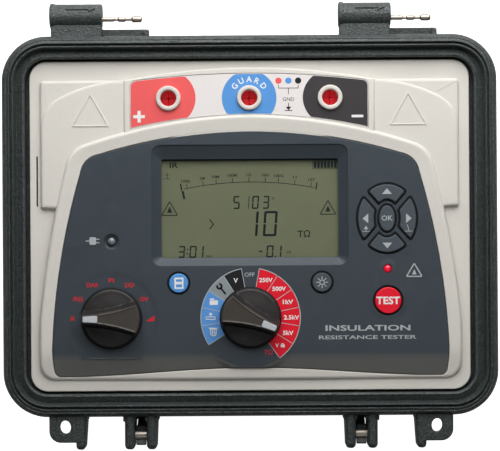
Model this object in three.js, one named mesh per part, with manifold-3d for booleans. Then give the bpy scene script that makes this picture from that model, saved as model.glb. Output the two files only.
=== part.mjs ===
// Insulation resistance tester in a carrying case, lid taken off.
// Millimetres, +Z up out of the panel, +X right, +Y towards the lid hinge.
// The origin is the middle of the footprint, on the plane that the feet rest on.

import * as THREE from 'three';
import { mergeVertices } from 'three/addons/utils/BufferGeometryUtils.js';
import Module from 'manifold-3d';

const wasm = await Module();
wasm.setup();

// ---------------------------------------------------------------- driving dimensions

const GAP = 0.3;                 // between pieces that are fitted into one another
const OVERRUN = 1;               // how far a cutting tool runs past the face it opens

const caseSize = { halfX: 157.5, halfY: 121.2, corner: 28.5 };
const depthOverFittings = 142.25; // from the middle to the barrels and to the fin tips
const height = { floor: 2.5, floorTop: 7, rimUnder: 104, rimTop: 130, ledge: 114.2 };

const panel = { halfX: 140.2, halfY: 105.2, corner: 11, under: 115.2, flange: 121.2 };
const level = { wing: 123.7, wingCrease: 124.5, deck: 125.3, band: 126.2, fascia: 125.4, fasciaUnder: 120.2 };
const stripBend = { y: -80, dropPerMm: 0.16 };   // the lower strip of the panel slopes down to the user

const terminal = { spacing: 51.5, y: 81.3, collarRadius: 7.9, boreRadius: 5.1 };
const display = {
  y: 11.1, glassHalfX: 56.4, glassHalfY: 31.5, bezelHalfX: 62.2, bezelTop: 51.2, bezelBottom: -24.9
};
const knob = { radius: 18.8, height: 13.5, y: -58.6, modeX: -88.5, foot: 125.9 };
const mainRestDegrees = -22.5;   // the 5 kV place on the dial
const modeRestDegrees = 180;     // the first place on the mode scale

const keyTop = 126.4;
const keyFoot = 119;
const keypad = { under: 116.4, top: 117.6, collarTop: 125.1, collarGap: 0.25, collarWidth: 0.85 };
const ringWidth = 1.3;           // black ring seen round every key
const pad = { x: 87.2, y: 4, outerX: 18.5, outerY: 21.65, innerX: 8.5, innerY: 12.3, okX: 5.05, okY: 8.25,
  diagonalDegrees: 49, diagonalHalfGap: 2.55 };
const saveKey = { x: -45.6, y: -36.4, radius: 6.1 };
const backlightKey = { x: 45.6, y: -36.4, radius: 6.1 };
const testKey = { x: 87.6, y: -48.2, radius: 8.4 };
const highVoltageLamp = { x: 87.4, y: -28, radius: 2.4 };
const lineLamp = { x: -88.2, y: -9.6, radius: 2.5 };

const handlePivot = { x: 70.3, y: -133.6, z: 117.5, pinRadius: 3.4 };
const handleGrip = { y: -115.5, z: 62, radius: 8.5 };
const hinge = { barrelStarts: [-126.7, 56.9], barrelLength: 33.5, y: 134.05, z: 121.8, radius: 8.2 };
const hingePin = { y: 131.8, z: 124, reach: 25.4 };

const screwPlace = { x: 116, y: 80 };
const screwHead = { radius: 4.2, seat: 6.5 };
const screwBossTop = 14;
const inlet = { minY: 40, maxY: 68, minZ: 60, maxZ: 84 };
const port = { minY: 12, maxY: 28, minZ: 64, maxZ: 78 };
const footPlace = { x: 98, y: 68, radius: 9 };

const roundSteps = 20;
const cornerSteps = 5;

// ---------------------------------------------------------------- materials

function plastic(colour, roughness) {
  return new THREE.MeshStandardMaterial({ color: colour, roughness, metalness: 0 });
}

function metal(colour, roughness) {
  return new THREE.MeshStandardMaterial({ color: colour, roughness, metalness: 1 });
}

const look = {
  caseShell: plastic(0x3a4443, 0.7),
  cream: plastic(0xd6d2ca, 0.5),
  slate: plastic(0x414a54, 0.55),
  knob: plastic(0x2b2725, 0.4),
  pale: plastic(0xc4cad2, 0.5),
  rubber: plastic(0x141416, 0.85),
  label: plastic(0xe2dbd9, 0.45),
  red: plastic(0xc40818, 0.35),
  redKey: plastic(0xd21130, 0.5),
  blue: plastic(0x3f86cc, 0.5),
  lens: plastic(0x777c74, 0.15),
  redLens: plastic(0xe02040, 0.15),
  glass: plastic(0x6b6e54, 0.1),
  display: plastic(0x6b6e54, 0.4),
  board: plastic(0x1f5a38, 0.6),
  block: plastic(0x24262a, 0.6),
  battery: plastic(0x35506e, 0.6),
  steel: metal(0x9a9286, 0.35),
  brass: metal(0xb08d4a, 0.3)
};

// ---------------------------------------------------------------- outlines

// Points of a circular arc between two points, rising to the left of the way it runs.
function bow(start, end, rise, steps) {
  const chord = Math.hypot(end[0] - start[0], end[1] - start[1]);
  const along = [(end[0] - start[0]) / chord, (end[1] - start[1]) / chord];
  const radius = (chord * chord / 4 + rise * rise) / (2 * rise);
  const halfAngle = Math.asin(chord / 2 / Math.abs(radius));
  const points = [];
  for (let i = 0; i <= steps; i++) {
    const angle = halfAngle * (2 * i / steps - 1);
    const forward = chord / 2 + Math.abs(radius) * Math.sin(angle);
    const side = Math.sign(rise) * Math.abs(radius) * (Math.cos(angle) - Math.cos(halfAngle));
    points.push([
      start[0] + along[0] * forward - along[1] * side,
      start[1] + along[1] * forward + along[0] * side
    ]);
  }
  return points;
}

// A closed outline from its right half, which runs from the top middle to the bottom middle.
function mirrored(rightHalf) {
  const leftHalf = rightHalf.filter(([x]) => Math.abs(x) > 1e-6).map(([x, y]) => [-x, y]).reverse();
  return counterClockwise([...rightHalf, ...leftHalf]);
}

function counterClockwise(points) {
  const distinct = points.filter(([x, y], i) => {
    const [nextX, nextY] = points[(i + 1) % points.length];
    return Math.hypot(nextX - x, nextY - y) > 1e-4;
  });
  let doubledArea = 0;
  distinct.forEach(([x, y], i) => {
    const [nextX, nextY] = distinct[(i + 1) % distinct.length];
    doubledArea += x * nextY - nextX * y;
  });
  return doubledArea > 0 ? distinct : distinct.reverse();
}

// A polygon whose corners are rounded off to one radius, or to a radius for each corner.
function roundedPolygon(corners, radius, steps = cornerSteps) {
  const outline = [];
  const count = corners.length;
  corners.forEach((corner, i) => {
    const here = new THREE.Vector2(...corner);
    const before = new THREE.Vector2(...corners[(i + count - 1) % count]).sub(here).normalize();
    const after = new THREE.Vector2(...corners[(i + 1) % count]).sub(here).normalize();
    const halfAngle = Math.acos(before.dot(after)) / 2;
    const cornerRadius = Array.isArray(radius) ? radius[i] : radius;
    const reach = cornerRadius / Math.tan(halfAngle);
    const bisector = before.clone().add(after).normalize();
    const centre = bisector.multiplyScalar(cornerRadius / Math.sin(halfAngle)).add(here);
    const first = before.clone().multiplyScalar(reach).add(here).sub(centre);
    const last = after.clone().multiplyScalar(reach).add(here).sub(centre);
    const sweep = Math.atan2(first.cross(last), first.dot(last));
    for (let step = 0; step <= steps; step++) {
      const turned = first.clone().rotateAround(new THREE.Vector2(), sweep * step / steps);
      outline.push([centre.x + turned.x, centre.y + turned.y]);
    }
  });
  return counterClockwise(outline);
}

function roundedRectangle(halfX, halfY, radius, steps = cornerSteps, x = 0, y = 0) {
  return roundedPolygon([
    [x + halfX, y + halfY], [x - halfX, y + halfY], [x - halfX, y - halfY], [x + halfX, y - halfY]
  ], radius, steps);
}

function ellipse(halfX, halfY, x = 0, y = 0, steps = roundSteps) {
  return Array.from({ length: steps }, (_, i) => {
    const angle = 2 * Math.PI * i / steps;
    return [x + halfX * Math.cos(angle), y + halfY * Math.sin(angle)];
  });
}

// The outline moved outwards along its own normals.
function grown(outline, distance) {
  const count = outline.length;
  return outline.map(([x, y], i) => {
    const [beforeX, beforeY] = outline[(i + count - 1) % count];
    const [afterX, afterY] = outline[(i + 1) % count];
    const length = Math.hypot(afterX - beforeX, afterY - beforeY);
    return [x + distance * (afterY - beforeY) / length, y - distance * (afterX - beforeX) / length];
  });
}

// ---------------------------------------------------------------- solids

function toSolid(geometry) {
  const plain = geometry.clone();
  plain.deleteAttribute('normal');
  plain.deleteAttribute('uv');
  const merged = mergeVertices(plain, 1e-4);
  const corners = merged.index.array;
  const triangles = [];
  for (let i = 0; i < corners.length; i += 3) {
    const [a, b, c] = corners.subarray(i, i + 3);
    if (a !== b && b !== c && c !== a) triangles.push(a, b, c);
  }
  return new wasm.Manifold(new wasm.Mesh({
    numProp: 3,
    vertProperties: new Float32Array(merged.attributes.position.array),
    triVerts: new Uint32Array(triangles)
  }));
}

function toGeometry(solid) {
  const mesh = solid.getMesh();
  const geometry = new THREE.BufferGeometry();
  geometry.setAttribute('position', new THREE.BufferAttribute(mesh.vertProperties, 3));
  geometry.setIndex(new THREE.BufferAttribute(mesh.triVerts, 1));
  geometry.computeVertexNormals();
  return geometry;
}

// A body through a stack of outlines that all have the same number of points: [[outline, z], ...].
function loft(layers) {
  const count = layers[0][0].length;
  const positions = layers.flatMap(([outline, z]) => outline.flatMap(([x, y]) => [x, y, z]));
  const triangles = [];
  for (let layer = 0; layer + 1 < layers.length; layer++) {
    for (let i = 0; i < count; i++) {
      const next = (i + 1) % count;
      const low = layer * count;
      const high = low + count;
      triangles.push(low + i, low + next, high + next, low + i, high + next, high + i);
    }
  }
  const cap = (index) => layers[index][0].map(([x, y]) => new THREE.Vector2(x, y));
  const top = (layers.length - 1) * count;
  THREE.ShapeUtils.triangulateShape(cap(0), []).forEach(([a, b, c]) => triangles.push(c, b, a));
  THREE.ShapeUtils.triangulateShape(cap(layers.length - 1), [])
    .forEach(([a, b, c]) => triangles.push(top + a, top + b, top + c));
  const geometry = new THREE.BufferGeometry();
  geometry.setAttribute('position', new THREE.Float32BufferAttribute(positions, 3));
  geometry.setIndex(triangles);
  return toSolid(geometry);
}

function slab(outline, low, high) {
  return loft([[outline, low], [outline, high]]);
}

// A slab whose top edge is broken by a small chamfer.
function chamferedSlab(outline, low, high, chamfer) {
  return loft([[outline, low], [outline, high - chamfer], [grown(outline, -chamfer), high]]);
}

function box(minX, maxX, minY, maxY, minZ, maxZ) {
  const geometry = new THREE.BoxGeometry(maxX - minX, maxY - minY, maxZ - minZ);
  geometry.translate((minX + maxX) / 2, (minY + maxY) / 2, (minZ + maxZ) / 2);
  return toSolid(geometry);
}

// A body turned about a vertical axis; the profile lists [radius, z] from the axis back to the axis.
function turned(profile, x = 0, y = 0, steps = roundSteps) {
  const points = profile.map(([radius, z]) => new THREE.Vector2(radius, z));
  const geometry = new THREE.LatheGeometry(points, steps);
  geometry.rotateX(Math.PI / 2);
  geometry.translate(x, y, 0);
  return toSolid(geometry);
}

function post(radius, low, high, x = 0, y = 0, steps = roundSteps) {
  const geometry = new THREE.CylinderGeometry(radius, radius, high - low, steps);
  geometry.rotateX(Math.PI / 2);
  geometry.translate(x, y, (low + high) / 2);
  return toSolid(geometry);
}

// A bar of revolution that lies along X; the profile lists [x, radius] from end to end.
function lyingBar(profile, y, z, steps = roundSteps) {
  const ends = [[profile[0][0], 0], ...profile, [profile[profile.length - 1][0], 0]];
  const points = ends.map(([x, radius]) => new THREE.Vector2(radius, x));
  const geometry = new THREE.LatheGeometry(points, steps);
  geometry.rotateZ(-Math.PI / 2);
  geometry.translate(0, y, z);
  return toSolid(geometry);
}

// A plate that stands across X, drawn in the YZ plane.
function standingPlate(outlineYZ, minX, maxX) {
  const shape = new THREE.Shape(counterClockwise(outlineYZ).map(([y, z]) => new THREE.Vector2(y, z)));
  const geometry = new THREE.ExtrudeGeometry(shape, { depth: maxX - minX, bevelEnabled: false });
  geometry.applyMatrix4(new THREE.Matrix4().makeBasis(
    new THREE.Vector3(0, 1, 0), new THREE.Vector3(0, 0, 1), new THREE.Vector3(1, 0, 0)));
  geometry.translate(minX, 0, 0);
  return toSolid(geometry);
}

function union(solids) {
  return solids.reduce((whole, solid) => whole.add(solid));
}

function cut(solid, tools) {
  return tools.reduce((rest, tool) => rest.subtract(tool), solid);
}

const sides = [-1, 1];
const tester = new THREE.Group();

function place(name, solid, material) {
  const mesh = new THREE.Mesh(toGeometry(solid), material);
  mesh.name = name;
  tester.add(mesh);
}

// ---------------------------------------------------------------- carrying case

// A closed section, given as [inset from the outside, z], led round the rounded case outline.
function rimSweep(section) {
  const rings = section.map(([inset, z]) => {
    const outline = roundedRectangle(caseSize.halfX - inset, caseSize.halfY - inset, caseSize.corner - inset);
    return outline.map(([x, y]) => [x, y, z]);
  });
  const count = rings[0].length;
  const triangles = [];
  rings.forEach((_, ring) => {
    const here = ring * count;
    const there = ((ring + 1) % rings.length) * count;
    for (let i = 0; i < count; i++) {
      const next = (i + 1) % count;
      triangles.push(here + i, here + next, there + next, here + i, there + next, there + i);
    }
  });
  const geometry = new THREE.BufferGeometry();
  geometry.setAttribute('position', new THREE.Float32BufferAttribute(rings.flat(2), 3));
  geometry.setIndex(triangles);
  return toSolid(geometry);
}

function caseRim() {
  const top = height.rimTop;
  return rimSweep([
    [18, 106], [14.5, 103], [3, height.rimUnder], [0.5, 107], [0, 110], [0, top - 5.2], [0.8, top - 2.7],
    [2.2, top - 1.2], [4.9, top], [5.3, top - 0.4], [5.7, top - 2.4], [6.3, top - 2.4], [6.6, top - 0.4],
    [7.3, top], [7.8, top - 0.6], [8.7, top - 4.8], [13.4, top - 3.7], [14.3, top - 4.3], [14.5, top - 5.2],
    [14.5, height.ledge], [18, height.ledge]
  ]);
}

function tubLayer(halfX, halfY, radius, z) {
  return [roundedRectangle(halfX, halfY, radius), z];
}

function caseTub() {
  const outside = loft([
    tubLayer(132, 95.5, 20, height.floor), tubLayer(135.5, 99, 22, height.floor + 4),
    tubLayer(142.5, 106.2, 25, 106), tubLayer(142.5, 106.2, 25, height.ledge - 0.5)
  ]);
  const inside = loft([
    tubLayer(130, 93.5, 18, height.floorTop), tubLayer(131, 94.5, 18, height.floorTop + 3),
    tubLayer(137.5, 101.5, 20, 104), tubLayer(134.5, 99.5, 18, 110), tubLayer(134.5, 99.5, 18, 132)
  ]);
  return { outside, inside };
}

// Upright stiffening ribs between the tub wall and the underside of the rim.
function wallRibs() {
  const ribs = [];
  for (const side of sides) {
    for (const y of [-70, -25, 25, 70]) {
      ribs.push(box(...[side * 141, side * 152].sort((a, b) => a - b), y - 2, y + 2, 84, 105));
    }
    for (const x of [-40, 0, 40]) {
      ribs.push(box(x + side * 5 - 2, x + side * 5 + 2, 103, 115.5, 84, 105));
    }
  }
  return ribs;
}

// Fins stand out from the front wall: deep at the wall, shallow at the tip.
function frontFin(minX, maxX) {
  const tip = -depthOverFittings;
  return standingPlate([
    [-114, 126.5], [tip + 3, 126.5], [tip, 123], [tip, 112], [tip + 4, 107], [-122, 90], [-104.5, 80],
    [-104.5, 100], [-114, 106]
  ], minX, maxX);
}

function padlockLug(side) {
  const near = side * 105.5;
  const far = side * 128.5;
  const lug = roundedPolygon([[near, -137.5], [near, -115], [far, -115], [far, -137.5]], [1, 1, 1, 6]);
  const hole = ellipse(3.5, 4.3, side * 118.2, -127.6, 14);
  return slab(counterClockwise(lug), 121, 126.6).subtract(slab(hole, 120, 128));
}

// Both pins point to the right, so that the lid slides off sideways.
function hingeBarrel(left) {
  const right = left + hinge.barrelLength;
  const barrel = lyingBar([
    [left, hinge.radius], [left + 3, hinge.radius],
    [left + 3.4, hinge.radius - 0.5], [right, hinge.radius - 0.5]
  ], hinge.y, hinge.z, 18);
  const neck = box(left + 1, right - 0.5, 117, hinge.y, 106, 126.5);
  const gusset = standingPlate([[104, 112], [134, 112], [134, 109], [104, 82]], left + 8, right - 8);
  const ledge = box(right - 0.5, right + 29.5, 117, 126, 112, 118);
  const stop = box(right + 26.2, right + 29.5, 117, 125.4, 117, 123);
  const bore = lyingBar([[right - 18, 1.62], [right + 1, 1.62]], hingePin.y, hingePin.z, 10);
  return union([barrel, neck, gusset, ledge, stop]).subtract(bore);
}

const handleFins = [[60, 66.6], [74, 80.5]];
const latchFin = [105.5, 111.5];

function makeCase() {
  const { outside, inside } = caseTub();
  const pieces = [outside, caseRim(), ...wallRibs(), ...hinge.barrelStarts.map(hingeBarrel)];
  const cuts = [];
  const bosses = [];
  for (const side of sides) {
    for (const [near, far] of [...handleFins, latchFin]) {
      pieces.push(frontFin(Math.min(side * near, side * far), Math.max(side * near, side * far)));
    }
    pieces.push(padlockLug(side));
    cuts.push(acrossBar(side, 60.6, 81, handlePivot.pinRadius + 0.1));
    for (const end of sides) {
      const [x, y] = [side * screwPlace.x, end * screwPlace.y];
      bosses.push(post(7, height.floor + 2, screwBossTop, x, y, 14));
      cuts.push(post(2.4, 0, screwBossTop + OVERRUN, x, y, 10));
      cuts.push(post(screwHead.radius + GAP, 0, screwHead.seat, x, y, 14));
      cuts.push(post(footPlace.radius + 0.2, 0, 4, side * footPlace.x, end * footPlace.y, 16));
    }
  }
  cuts.push(box(-146, -128, inlet.minY - GAP, inlet.maxY + GAP, inlet.minZ - GAP, inlet.maxZ + GAP));
  cuts.push(box(-146, -128, port.minY - GAP, port.maxY + GAP, port.minZ - GAP, port.maxZ + GAP));
  const hollowed = union(pieces).subtract(inside);
  return cut(hollowed.add(union(bosses)), cuts);
}

// Round bar across the handle fins on one side, from the near to the far distance off the middle.
function acrossBar(side, near, far, radius) {
  const [from, to] = [side * near, side * far].sort((a, b) => a - b);
  return lyingBar([[from, radius], [to, radius]], handlePivot.y, handlePivot.z, 18);
}

function makeHingePin(barrelStart) {
  const barrelEnd = barrelStart + hinge.barrelLength;
  return lyingBar([
    [barrelEnd - 17.5, 1.55], [barrelEnd + 7.4, 1.55], [barrelEnd + 7.8, 1.05], [barrelEnd + 10, 1.05],
    [barrelEnd + 10.8, 1.7], [barrelEnd + 14.4, 1.7], [barrelEnd + 15.2, 1.1], [barrelEnd + 18.6, 1.1],
    [barrelEnd + 19.6, 2.1], [barrelEnd + 24.2, 2.1], [barrelEnd + hingePin.reach, 1.2]
  ], hingePin.y, hingePin.z, 10);
}

// The handle hangs from hooks on its two pins, its grip tucked under the front rim.
function makeHandle() {
  const { y, z } = handlePivot;
  const hookOuter = 6.4;
  const hookInner = handlePivot.pinRadius + 0.15;
  const mouth = 50 * Math.PI / 180;
  const hookPoint = (radius, angle) => [y + radius * Math.sin(angle), z + radius * Math.cos(angle)];
  const hook = [];
  const hookSteps = 14;
  const hookSweep = 2 * Math.PI - 2 * mouth;
  for (let i = 0; i <= hookSteps; i++) {
    hook.push(hookPoint(hookOuter, mouth + hookSweep * i / hookSteps));
  }
  for (let i = hookSteps; i >= 0; i--) {
    hook.push(hookPoint(hookInner / Math.cos(Math.PI / (2 * hookSteps)), mouth + hookSweep * i / hookSteps));
  }
  const arm = [
    [y - 4.6, z - 4.3], [y + 4, z - 4.8],
    [handleGrip.y + 6, handleGrip.z + 4], [handleGrip.y + 6, handleGrip.z - 5],
    [handleGrip.y - 6, handleGrip.z - 5], [handleGrip.y - 7, handleGrip.z + 4]
  ];
  const pieces = [];
  for (const side of sides) {
    const [from, to] = [side * 67.2, side * 73.4].sort((a, b) => a - b);
    pieces.push(standingPlate(hook, from, to), standingPlate(arm, from, to));
  }
  const end = handlePivot.x + 3.1;
  const full = handleGrip.radius;
  const grip = lyingBar([
    [-end, full - 3], [-end + 3, full - 1.6], [-48, full - 1.2], [-42, full], [42, full], [48, full - 1.2],
    [end - 3, full - 1.6], [end, full - 3]
  ], handleGrip.y, handleGrip.z, 16);
  const grooves = [];
  for (let x = -30; x <= 30; x += 20) {
    const ring = lyingBar([[x - 1, full + 1], [x + 1, full + 1]], handleGrip.y, handleGrip.z, 16);
    const core = lyingBar([[x - 2, full - 0.7], [x + 2, full - 0.7]], handleGrip.y, handleGrip.z, 16);
    grooves.push(ring.subtract(core));
  }
  return cut(union([...pieces, grip]), grooves);
}

place('case_base', makeCase(), look.caseShell);
place('hinge_pin_left', makeHingePin(hinge.barrelStarts[0]), look.steel);
place('hinge_pin_right', makeHingePin(hinge.barrelStarts[1]), look.steel);
place('handle', makeHandle(), look.caseShell);
place('handle_pin_left', acrossBar(-1, 60.9, 80.7, handlePivot.pinRadius), look.steel);
place('handle_pin_right', acrossBar(1, 60.9, 80.7, handlePivot.pinRadius), look.steel);

for (const [sideX, wordX] of [[-1, 'left'], [1, 'right']]) {
  for (const [sideY, wordY] of [[-1, 'front'], [1, 'rear']]) {
    const [x, y] = [sideX * footPlace.x, sideY * footPlace.y];
    const foot = turned([
      [0, 0], [footPlace.radius - 1, 0], [footPlace.radius, 1], [footPlace.radius, 3.8], [0, 3.8]
    ], x, y, 16);
    place(`foot_${wordY}_${wordX}`, foot, look.rubber);
  }
}

// ---------------------------------------------------------------- instrument panel

function fasciaOutline() {
  const bottomEdge = (x) => -93.1 + 2.7 * Math.cos(Math.PI * x / 121.5);
  const bottom = [];
  const bottomSteps = 8;
  for (let i = 0; i <= bottomSteps; i++) {
    const x = 120.5 * (1 - i / bottomSteps);
    bottom.push([x, bottomEdge(x)]);
  }
  return mirrored([
    ...bow([0, 60.2], [96.5, 45.4], 3.6, 8),
    ...bow([96.5, 45.4], [107.6, 34], 2.6, 5),
    ...bow([107.6, 34], [126, -76], 3.4, 8),
    ...bow([126, -76], [124.8, -92.4], 0.5, 2),
    ...bow([124.8, -92.4], [120.5, bottomEdge(120.5)], 1.1, 3),
    ...bottom
  ]);
}

function bandOutline() {
  return mirrored([
    ...bow([0, 71.1], [105, 52.6], 4.2, 8),
    ...bow([105, 52.6], [117.8, 37.6], 2.8, 5),
    ...bow([117.8, 37.6], [134.5, -62], 1.8, 6),
    [134.6, -87],
    ...bow([134.6, -87], [124, -98.6], 3.2, 5),
    [60, -98.6],
    [0, -98.6]
  ]);
}

const archTop = { middle: 100.6, side: 92.9, halfX: 80 };

function deckOutline() {
  return mirrored([
    ...bow([0, archTop.middle], [archTop.halfX, archTop.side], 1.95, 8),
    [archTop.halfX, 56], [0, 56]
  ]);
}

function wingCreaseOutline() {
  return mirrored([
    ...bow([0, archTop.middle - 1], [archTop.halfX, archTop.side], 1.7, 4),
    ...bow([archTop.halfX, archTop.side], [132.9, 54], 9, 8),
    [132.9, 12], [0, 12]
  ]);
}

function labelOutline() {
  return mirrored([
    ...bow([0, 96.8], [72, 92.6], 1.05, 6),
    ...bow([72, 92.6], [75.7, 89], 0.9, 3),
    [75.7, 62.2],
    ...bow([75.7, 62.2], [0, 70.9], -2.1, 8)
  ]);
}

const pillarTop = level.band - 9;

// Everything above this sloping plane is taken away from the lower strip of the panel.
function stripSlope(surface) {
  const far = -115;
  const drop = (far - stripBend.y) * stripBend.dropPerMm;
  return standingPlate([
    [stripBend.y, surface], [far, surface + drop], [far, surface + 20], [stripBend.y, surface + 20]
  ], -150, 150);
}

function bossRing(radius) {
  return [[-1, -1], [1, -1], [-1, 1], [1, 1]].map(([sideX, sideY]) =>
    post(radius, screwBossTop + GAP, pillarTop, sideX * screwPlace.x, sideY * screwPlace.y, 16));
}

const boardPosts = [[108, 46], [-108, 46], [125.5, -50], [-125.5, -50]];
const boardTop = 101.6;

function panelOpening() {
  return roundedPolygon([
    [-60, 50.5], [-99, 40.5], [-111.5, -1], [-121.5, -60], [-119.5, -91],
    [119.5, -91], [121.5, -60], [111.5, -1], [99, 40.5], [60, 50.5]
  ], 3, 2);
}

function makePanel() {
  const under = panel.under;
  const flange = chamferedSlab(
    roundedRectangle(panel.halfX, panel.halfY, panel.corner), under, panel.flange, 0.6);
  const wings = [];
  for (const side of sides) {
    const [near, far] = [side * 70, side * 133.4];
    const outline = roundedPolygon([[near, 11.2], [far, 11.2], [far, 92.9], [near, 92.9]], 3, 3);
    wings.push(chamferedSlab(outline, under + 1, level.wing, 0.8));
  }
  const crease = chamferedSlab(wingCreaseOutline(), under + 1, level.wingCrease, 0.5);
  const deck = chamferedSlab(deckOutline(), under + 1, level.deck, 0.8);
  const band = loft([
    [bandOutline(), under + 1], [bandOutline(), level.band - 2.2],
    [grown(bandOutline(), -0.9), level.band - 0.7], [grown(bandOutline(), -2.4), level.band]
  ]).subtract(stripSlope(level.band));
  const pieces = [flange, ...wings, crease, deck, band, ...bossRing(5.5)];
  for (const [x, y] of boardPosts) {
    pieces.push(post(3.5, boardTop + GAP, under + 1, x, y, 14));
  }
  const cuts = [
    slab(grown(fasciaOutline(), GAP), level.fasciaUnder - GAP, 140),
    slab(panelOpening(), 100, 121),
    slab(grown(labelOutline(), GAP), level.deck - 0.6, 140),
    box(-136.1, -135.1, 12, 44, 110, 130)
  ];
  for (const side of [-1, 0, 1]) {
    cuts.push(post(terminal.collarRadius + 0.2, 100, 140, side * terminal.spacing, terminal.y, 22));
  }
  for (const side of sides) {
    const [minX, maxX] = [side * 84, side * 129].sort((a, b) => a - b);
    cuts.push(box(minX, maxX, 62, 72, under - 1, level.wing - 3));
    cuts.push(box(minX, maxX, 56, 61, under - 1, level.wing - 3));
    for (const end of sides) {
      cuts.push(post(1.7, 10, 30, side * screwPlace.x, end * screwPlace.y, 12));
    }
  }
  return cut(union(pieces), cuts);
}

function makeFascia() {
  const { fascia, fasciaUnder } = level;
  const plateUnder = fascia - 2.5;
  const body = chamferedSlab(fasciaOutline(), fasciaUnder, fascia, 0.4).subtract(stripSlope(fascia));
  const disc = post(35.5, fasciaUnder, fascia, 0, knob.y, 36)
    .intersect(slab(grown(fasciaOutline(), -0.4), fasciaUnder, fascia));
  const displayBlock = slab(roundedRectangle(64, 40, 6, 4, 0, 13.2), 100, 140);
  const lowerStrip = box(-140, 140, -120, -76, 100, 140);
  const hollow = cut(slab(panelOpening(), fasciaUnder - 1, plateUnder), [displayBlock, lowerStrip]);
  const bezelMiddle = (display.bezelTop + display.bezelBottom) / 2;
  const bezelHalf = (display.bezelTop - display.bezelBottom) / 2;
  const glass = roundedRectangle(display.glassHalfX, display.glassHalfY, 1.5, 4, 0, display.y);
  const bezel = roundedRectangle(display.bezelHalfX, bezelHalf, 5.5, 4, 0, bezelMiddle);
  const cuts = [hollow, slab(glass, 110, 122), loft([[glass, 120.9], [bezel, fascia], [bezel, fascia + 2]])];
  const { modeX, y } = knob;
  cuts.push(post(4.4, 110, 140, 0, y, 16), post(4.4, 110, 140, modeX, y, 16));
  for (const key of [saveKey, backlightKey, testKey]) {
    cuts.push(post(key.radius + ringWidth, 110, 140, key.x, key.y, 24));
  }
  for (let turn = 0; turn < 4; turn++) {
    cuts.push(slab(padSector(turn, ringWidth), 110, 140));
  }
  cuts.push(slab(ellipse(pad.okX + ringWidth, pad.okY + ringWidth, pad.x, pad.y, 22), 110, 140));
  for (const lamp of [lineLamp, highVoltageLamp]) {
    cuts.push(post(lamp.radius + GAP, 110, 140, lamp.x, lamp.y, 16));
  }
  cuts.push(turned([[0, fascia - 1], [3.4, fascia - 1], [4.7, fascia + 0.1], [0, fascia + 0.1]],
    lineLamp.x, lineLamp.y, 20));
  return cut(body.add(disc), cuts);
}

// One of the four arrow keys: a quarter of an oval ring, its straight ends parallel to the diagonals.
// The turn counts quarter turns from the right-hand key.
function padSector(turn, grow) {
  const upright = turn % 2 === 1;
  const phi = pad.diagonalDegrees * Math.PI / 180;
  const edge = (halfX, halfY) => {
    const reach = Math.hypot(halfX * Math.sin(phi), halfY * Math.cos(phi));
    const onDiagonal = Math.atan2(halfX * Math.sin(phi), halfY * Math.cos(phi));
    const aside = Math.asin((pad.diagonalHalfGap - grow) / reach);
    return upright ? Math.PI / 2 - (onDiagonal + aside) : onDiagonal - aside;
  };
  const middle = turn * Math.PI / 2;
  const arc = (halfX, halfY, steps) => Array.from({ length: steps + 1 }, (_, i) => {
    const angle = middle + edge(halfX, halfY) * (2 * i / steps - 1);
    return [pad.x + halfX * Math.cos(angle), pad.y + halfY * Math.sin(angle)];
  });
  const outer = arc(pad.outerX + grow, pad.outerY + grow, 10);
  const inner = arc(pad.innerX - grow, pad.innerY - grow, 6).reverse();
  return counterClockwise([...outer, ...inner]);
}

function makeTerminalLabel() {
  const plate = slab(labelOutline(), level.deck - 0.3, level.deck - 0.05);
  return cut(plate, [-1, 0, 1].map((side) =>
    post(terminal.collarRadius + 0.2, 110, 140, side * terminal.spacing, terminal.y, 22)));
}

place('front_panel', makePanel(), look.cream);
place('fascia', makeFascia(), look.slate);
place('terminal_label', makeTerminalLabel(), look.label);

// ---------------------------------------------------------------- terminals

for (const [side, word] of [[-1, 'positive'], [0, 'guard'], [1, 'negative']]) {
  const [x, y] = [side * terminal.spacing, terminal.y];
  const { collarRadius, boreRadius } = terminal;
  const collar = turned([
    [boreRadius + 0.1, 117], [collarRadius, 117], [collarRadius, 126.6], [collarRadius - 0.7, 127.3],
    [boreRadius + 0.7, 127.3], [boreRadius, 126.6], [boreRadius + 0.1, 117]
  ], x, y);
  const insulator = turned([
    [0, 80], [6.8, 80], [6.8, 116.7], [boreRadius - 0.2, 116.7], [boreRadius - 0.2, 86], [2.3, 86],
    [2.3, 83], [0, 83]
  ], x, y);
  const contact = turned([[0, 83.3], [2, 83.3], [2, 111], [1.5, 112], [0, 112]], x, y, 12);
  place(`terminal_collar_${word}`, collar, look.label);
  place(`terminal_insulator_${word}`, insulator, look.red);
  place(`terminal_contact_${word}`, contact, look.brass);
}

// ---------------------------------------------------------------- display

place('lcd_window', slab(roundedRectangle(59, 34, 2, 3, 0, display.y), 118.7, 119.9), look.glass);
place('lcd_module', slab(roundedRectangle(61, 36.5, 1.5, 3, 0, display.y), 110, 118.4), look.display);

// ---------------------------------------------------------------- keys and lamps

function round(key, low, high, grow = 0) {
  return post(key.radius + grow, low, high, key.x, key.y, 24);
}

function okKey(low, high, grow = 0) {
  return slab(ellipse(pad.okX + grow, pad.okY + grow, pad.x, pad.y, 22), low, high);
}

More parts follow.
